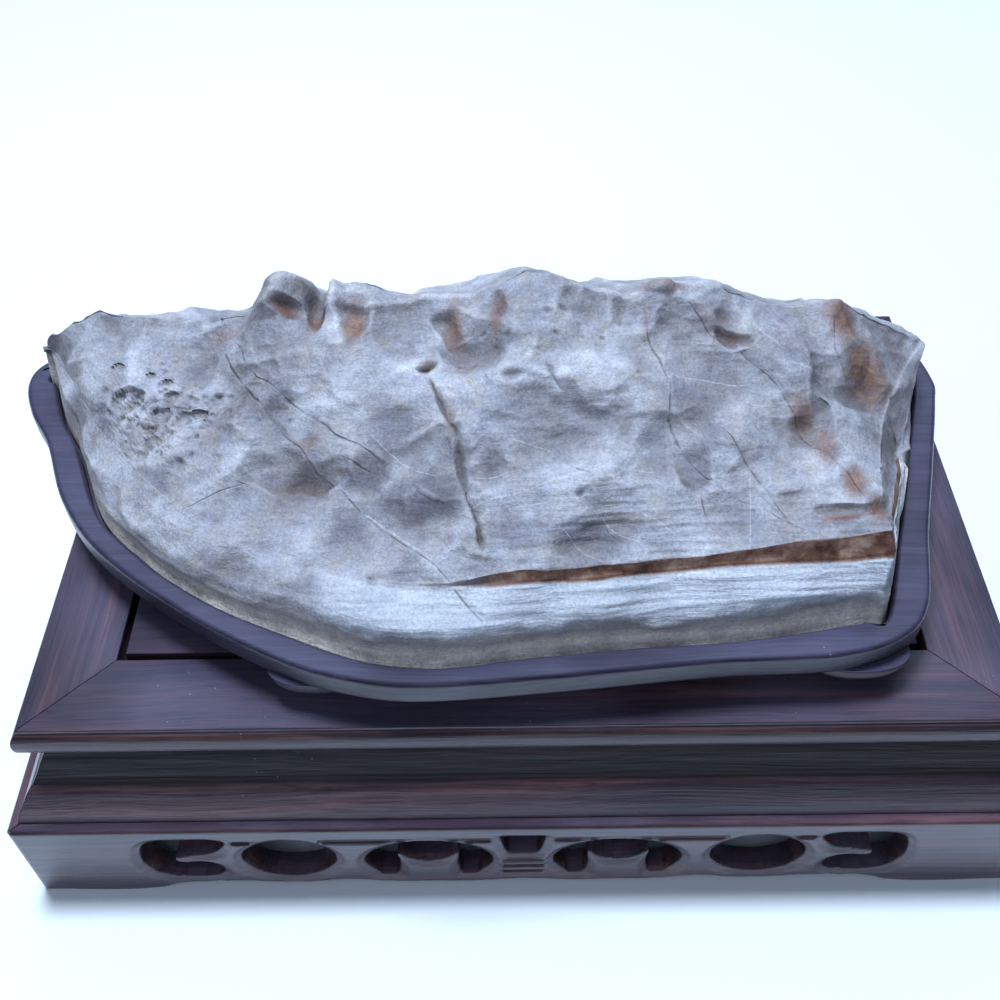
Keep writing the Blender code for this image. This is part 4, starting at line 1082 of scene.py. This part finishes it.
def make_seat_foot(name, spot, sap, material):
    """A lobed foot: an oval drawn in towards the panel on a rounded profile."""
    turn = np.linspace(0, 2 * math.pi, 56, endpoint=False)
    waves = np.column_stack((np.cos(turn), np.sin(turn)))
    lobe = np.sign(waves) * np.abs(waves) ** 0.8 * SEAT_FOOT_SIZE
    low = STAND_HEIGHT + GAP
    height = np.linspace(0, 1, 18)
    share = 0.46 + 0.54 * np.sin(height * math.pi / 2) ** 0.8
    levels = low + (SEAT_FOOT_TOP - low) * height
    rings = stack_loops([lobe * s + np.array(spot) for s in share], levels)
    pale = sap * smooth(share, 0.9, 0.94) * (1 - smooth(share, 0.985, 1.0))
    values = {"sap": np.repeat(pale, len(turn))}
    faces = tube_faces(len(levels), len(turn))
    add_piece(name, rings, faces, "fitted_seat", material, sharp=50, values=values)


def on_side(side, along, inset, z):
    """Places on one side of the stand: along it from its middle, in from its face, and up."""
    half_length, half_depth = STAND_LENGTH / 2, STAND_DEPTH / 2
    along, inset, z = np.broadcast_arrays(np.asarray(along, float), inset, z)
    x, y = {
        "front": (along, inset),
        "right": (half_length - inset, half_depth + along),
        "back": (-along, STAND_DEPTH - inset),
        "left": (inset - half_length, half_depth - along),
    }[side]
    return np.stack((x, y, z), axis=-1)


def half_run(side):
    """Half the length of a side of the stand."""
    return (STAND_LENGTH if side in ("front", "back") else STAND_DEPTH) / 2


def make_moulding(name, side, section, shading_and_wear, seed, material):
    """A mitred length of moulding: its worn profile of insets and heights carried along one side.

    Each point of the profile stops at its own mitre, and hand planing leaves it up to 0.06 mm low.
    """
    inset, z = np.array(section).T
    reach = half_run(side) - inset - MITRE_GAP
    share = np.linspace(-1, 1, 61)[:, None]
    low = 0.03 * (1 + noise(share * 9, np.arange(len(inset)) * 0.15, seed))
    middle_z = (z.max() + z.min()) / 2
    rings = on_side(side, share * reach, inset + low, z - low * np.sign(z - middle_z))
    values = {"wear_and_shading": np.broadcast_to(shading_and_wear, rings.shape[:2])}
    faces = tube_faces(len(share), len(inset))
    add_piece(name + "_piece", rings, faces, name, material, sharp=40, values=values)


def rail_section():
    """The top rail: a small lip, a rounded bead below it, and the rebate that carries the panel."""
    top = STAND_HEIGHT
    inner = SLAB_INSET + RAIL_WIDTH
    ledge = top - PANEL_THICK - GAP
    corners = [(inner, top), (SLAB_INSET, top), (SLAB_INSET, top - LIP_HEIGHT)]
    bead = arc(BEAD_MIDDLE, BEAD_RADII, 95, 255, 24)
    rest = [
        (SLAB_INSET + 2.5, SLAB_UNDERSIDE), (inner + REBATE_WIDTH, SLAB_UNDERSIDE),
        (inner + REBATE_WIDTH, ledge), (inner, ledge),
    ]
    return ease_corners(corners + bead + rest, 0.5)


def waist_section():
    """The sloping hollow under the slab, and the moulding that swells out under it."""
    curves = [
        read_curve(curve, np.linspace(curve[-1][0], curve[0][0], 20))[:, ::-1].tolist()
        for curve in (WAIST_HOLLOW, WAIST_SWELL)
    ]
    return ease_corners([*curves[0], *curves[1], (WAIST_BACK, WAIST_FOOT), (WAIST_BACK, WAIST_TOP)], 0.3)


def scroll_opening(middle):
    """A hooked opening with a tongue of wood in it, its hollow end towards the foot."""
    toward = -1.0 if middle > 0 else 1.0
    return closed_curve([(middle + toward * a, z) for a, z in SCROLL], 90)


def oval_opening(middle):
    """A plain oval opening."""
    return np.array(arc((middle, 17.9), (14.2, 11.3), 0, 360, 61)[:-1])


def arch_opening(middle):
    """A wide arch over a horned mound of wood."""
    arch = arc((middle, 15.5), (19.3, 12.4), -20, 200, 45)
    mound = [*MOUND, *[(-a, z) for a, z in MOUND[-2::-1]]]
    return ease_corners([*arch, *[(middle + a, z) for a, z in mound]], 0.8, 3)


def centre_opening(middle):
    """The small opening in the middle, wider at its top."""
    shape = [(middle - 7.0, 30.4), (middle - 5.0, 20.0), (middle + 5.0, 20.0), (middle + 7.0, 30.4)]
    return ease_corners(shape, 1.6, 6)


LONG_OPENINGS = (
    (scroll_opening, -101.5), (oval_opening, -70.5), (arch_opening, -28.5), (centre_opening, 0.0),
    (arch_opening, 28.5), (oval_opening, 70.5), (scroll_opening, 101.5),
)
SHORT_OPENINGS = ((scroll_opening, -48.0), (arch_opening, 0.0), (scroll_opening, 48.0))


def inside_distance(x, y, loop):
    """Distance from each place to a closed loop of straight runs, above 0 inside it."""
    nearest = np.full_like(x, 1e6)
    inside = np.zeros(x.shape, dtype=bool)
    for start, end in zip(loop, np.roll(loop, -1, axis=0)):
        run = end - start
        nearest = np.minimum(nearest, run_distance(x, y, start, end)[0])
        crosses = (start[1] > y) != (end[1] > y)
        at = start[0] + (y - start[1]) / (run[1] if abs(run[1]) > 1e-9 else 1e-9) * run[0]
        inside ^= crosses & (x < at)
    return np.where(inside, nearest, -nearest)


def apron_field(side, along, z):
    """How far inside the wood each place of an apron board lies, and how deep its face is carved there."""
    half = half_run(side)
    openings, grounds, under = (
        (LONG_OPENINGS, LONG_GROUNDS, LONG_UNDER_EDGE) if side in ("front", "back")
        else (SHORT_OPENINGS, SHORT_GROUNDS, SHORT_UNDER_EDGE)
    )
    under = list(under) + [(half - FOOT_LENGTH - a, height) for a, height in FOOT_EDGE[::-1]] + [(half, 0.0)]
    under = read_curve(under, np.abs(along))[:, 1]
    board = np.minimum(np.minimum(z - under, APRON_HEIGHT - z), half - np.abs(along))
    hole = np.full_like(along, 1e6)
    for shape, middle in openings:
        hole = np.minimum(hole, -inside_distance(along, z, shape(middle)))
    carved = CARVED_DEPTH * (1 - smooth(hole, 0.4, 3.4))
    for start, end, low, high in grounds:
        ground = np.minimum(np.minimum(along - start, end - along), np.minimum(z - low, high - z))
        carved = np.maximum(carved, CARVED_DEPTH * smooth(ground, -0.2, 0.7) * smooth(hole, 0.9, 1.6))
    # Three carved steps under the centre opening
    if side in ("front", "back"):
        steps = 1.2 * smooth(np.abs(np.mod(z - 9.5, 3.6) - 1.8), 0.5, 1.1) * smooth(z, 9.0, 9.8)
        steps = steps * smooth(17.6 - z, 0.0, 0.7) * smooth(7.0 - np.abs(along), 0.0, 0.8)
        carved = np.maximum(carved, steps)
    return np.minimum(board, hole), carved


def make_apron(side, material):
    """An openwork apron board: a sheet cut where the wood ends, a second one behind it, and walls between.

    The board is a grid of triangles over its face. Each triangle that the edge of the wood crosses is
    cut at the zero of the distance to that edge. Near an edge the sheets draw together by
    r - sqrt(r^2 - (r - distance)^2), which rounds it, and each end shrinks to its mitre.
    """
    half = half_run(side)
    columns = np.linspace(-half - APRON_SPACING, half + APRON_SPACING, int(2 * half / APRON_SPACING) + 3)
    levels = np.linspace(-0.5, APRON_HEIGHT + 0.5, int(APRON_HEIGHT / APRON_SPACING) + 3)
    along, z = [side_grid.ravel() for side_grid in np.meshgrid(columns, levels)]
    field, _ = apron_field(side, along, z)
    wide = len(columns)
    corner = (np.arange(len(levels) - 1)[:, None] * wide + np.arange(wide - 1)[None, :]).ravel()
    triangles = np.vstack((
        np.column_stack((corner, corner + 1, corner + wide + 1)),
        np.column_stack((corner, corner + wide + 1, corner + wide)),
    ))

    # Triangles wholly in the wood stay; the others are cut at the zero between their held and bare corners
    held = field[triangles] > 0
    count = held.sum(axis=1)
    whole = triangles[count == 3]
    ones, twos = [], []
    for i in range(3):
        a, b, c = (triangles[:, (i + k) % 3] for k in range(3))
        lone = (count == 1) & held[:, i]
        pair = (count == 2) & ~held[:, i]
        ones.append(np.column_stack((a[lone], b[lone], c[lone])))
        twos.append(np.column_stack((b[pair], c[pair], a[pair])))
    ones, twos = np.vstack(ones), np.vstack(twos)
    cuts = np.vstack((ones[:, [0, 1]], ones[:, [0, 2]], twos[:, [1, 2]], twos[:, [0, 2]]))
    ends, which = np.unique(np.sort(cuts, axis=1), axis=0, return_inverse=True)
    low, high = ends.T
    t = field[low] / (field[low] - field[high])
    edge_along = along[low] + t * (along[high] - along[low])
    edge_z = z[low] + t * (z[high] - z[low])
    which = which.ravel() + len(along)
    one_b, one_c, two_c, two_b = np.split(which, np.cumsum([len(ones), len(ones), len(twos)]))
    flat = [*whole.tolist(), *np.column_stack((ones[:, 0], one_b, one_c)).tolist()]
    flat += np.column_stack((twos[:, 0], twos[:, 1], two_c, two_b)).tolist()
    rim = np.vstack((np.column_stack((one_b, one_c)), np.column_stack((two_c, two_b))))
    along, z = np.append(along, edge_along), np.append(z, edge_z)

    # The front sheet lies back by the carving and the worn edges, and the one behind by its own edges
    field, carved = apron_field(side, along, z)
    depth = np.maximum(round_edge(field, FRONT_ROUND), carved + round_edge(field, CARVED_ROUND))
    behind = APRON_THICK - round_edge(field, BEHIND_ROUND)
    sheets = []
    for inset in (depth, behind):
        reach = half - inset - MITRE_GAP
        plain = half - MITRE_RUN
        far = np.abs(along) > plain
        drawn = plain + (np.abs(along) - plain) * (reach - plain) / (half - plain)
        kept = np.where(far, np.sign(along) * drawn, along)
        sheets.append(on_side(side, kept, inset, np.clip(z, 0, APRON_HEIGHT)))
    count = len(along)
    faces = flat + [[i + count for i in face[::-1]] for face in flat]
    faces += np.column_stack((rim[:, 1], rim[:, 0], rim[:, 0] + count, rim[:, 1] + count)).tolist()
    points, faces = drop_unused(np.vstack(sheets), faces)
    # The board's top edge painted lighter and glossier
    wear_and_shading = 0.7 * smooth(points[:, 2], APRON_HEIGHT - 0.9, APRON_HEIGHT - 0.1)
    name = "apron_" + side
    add_piece(name + "_piece", points, faces, name, material, sharp=50, values={"wear_and_shading": wear_and_shading})


def round_edge(distance, radius):
    """How far a face draws back near its edge for the edge to have this radius."""
    left = np.clip(radius - distance, 0, radius)
    return radius - np.sqrt(radius**2 - left**2)


def drop_unused(points, faces):
    """The points that faces use, and the faces numbered after them."""
    used = np.unique(np.concatenate([np.array(face) for face in faces]))
    number = np.full(len(points), -1)
    number[used] = np.arange(len(used))
    return points[used], [[int(number[i]) for i in face] for face in faces]


def make_panel(material):
    """The floating panel, a groove in from the rails all round: a plain board with worn edges."""
    edge = SLAB_INSET + RAIL_WIDTH + PANEL_GROOVE
    low = STAND_HEIGHT - PANEL_THICK
    rings = []
    for inset, z in ((0.0, low), (0.0, STAND_HEIGHT - 0.5), (0.15, STAND_HEIGHT - 0.15), (0.5, STAND_HEIGHT)):
        right, near, far = STAND_LENGTH / 2 - edge - inset, edge + inset, STAND_DEPTH - edge - inset
        rings.append([(-right, near, z), (right, near, z), (right, far, z), (-right, far, z)])
    add_piece("panel_board", rings, tube_faces(4, 4), "top_panel", material, sharp=30)


def make_stand(long_wood, deep_wood, panel_wood):
    """The stand's panel, and the rail, waist and apron on each of its four sides."""
    make_panel(panel_wood)
    for number, side in enumerate(SIDES):
        wood = long_wood if side in ("front", "back") else deep_wood
        rail = rail_section()
        # The rail's faces below its top made darker and less glossy
        shading_and_wear = -0.3 * (1 - smooth(rail[:, 1], STAND_HEIGHT - 1.6, STAND_HEIGHT - 0.3))
        make_moulding("top_rail_" + side, side, rail, shading_and_wear, 70 + number, wood)
        waist = waist_section()
        # Painted shade and light: the hollow under the slab darker and less glossy, the swell below it
        # lighter
        shading_and_wear = 0.7 - 1.5 * smooth(waist[:, 1], 48.7, 49.6)
        make_moulding("waist_" + side, side, waist, shading_and_wear, 80 + number, wood)
        make_apron(side, wood)


def make_floor():
    """A plain pale floor."""
    data = bpy.data.meshes.new("floor")
    reach = FLOOR_REACH
    corners = [(-reach, FLOOR_FRONT, 0), (reach, FLOOR_FRONT, 0), (reach, reach, 0), (-reach, reach, 0)]
    data.from_pydata(corners, [], [(0, 1, 2, 3)])
    floor = bpy.data.objects.new("floor", data)
    bpy.context.collection.objects.link(floor)
    material, shader = new_material("pale_floor")
    fill_sockets(material, shader, {"Base Color": "e6f1f7", "Roughness": 0.6})
    data.materials.append(material)


def make_camera():
    """The camera at the photograph's place, angle and length of lens."""
    down, yaw, roll = (math.radians(v) for v in (CAMERA_DOWN, CAMERA_YAW, CAMERA_ROLL))
    ahead = Vector((math.sin(yaw) * math.cos(down), math.cos(yaw) * math.cos(down), -math.sin(down)))
    level = Vector((math.cos(yaw), -math.sin(yaw), 0.0))
    upright = level.cross(ahead)
    right = level * math.cos(roll) + upright * math.sin(roll)
    up = upright * math.cos(roll) - level * math.sin(roll)
    data = bpy.data.cameras.new("camera")
    data.sensor_width = 36.0
    data.lens = LENS_PIXELS / 1000 * data.sensor_width
    data.clip_start = 0.01
    camera = bpy.data.objects.new("camera", data)
    bpy.context.collection.objects.link(camera)
    turn = Matrix((right, up, -ahead)).transposed()
    camera.matrix_world = Matrix.Translation(place(CAMERA_PLACE).tolist()) @ turn.to_4x4()
    bpy.context.scene.camera = camera


def make_light():
    """A dim even room, a small window light above, a broad soft ceiling behind, and a broad fill in front."""
    world = bpy.data.worlds.new("studio")
    bpy.context.scene.world = world
    world.use_nodes = True
    sky = world.node_tree.nodes["Background"]
    sky.inputs["Color"].default_value = hex_colour("c8dcff")
    sky.inputs["Strength"].default_value = 0.14
    for name, where, size, power, colour, seen in LIGHTS:
        data = bpy.data.lights.new(name, "AREA")
        data.shape = "DISK"
        data.size = size
        data.energy = power
        data.color = hex_colour(colour)[:3]
        light = bpy.data.objects.new(name, data)
        light.location = where
        light.visible_glossy = seen
        light.rotation_euler = (Vector(LIGHT_TARGET) - Vector(where)).to_track_quat("-Z", "Y").to_euler()
        bpy.context.collection.objects.link(light)
    bpy.context.scene.view_settings.view_transform = "Standard"


make_camera()
make_light()
make_floor()
make_stone(limestone_material())
make_seat(wood_material("ebonised_seat_wood", 0.0, "1d1824", "2c2632", "3e3742", 0.42))
make_stand(
    wood_material("waxed_rosewood_long", 0.0, "1a1014", "3a2626", "6b463a", 0.4),
    wood_material("waxed_rosewood_deep", math.pi / 2, "1a1014", "3a2626", "6b463a", 0.4),
    wood_material("waxed_rosewood_panel", 0.0, "1a1115", "2c1e23", "443031", 0.4, 0.6),
)
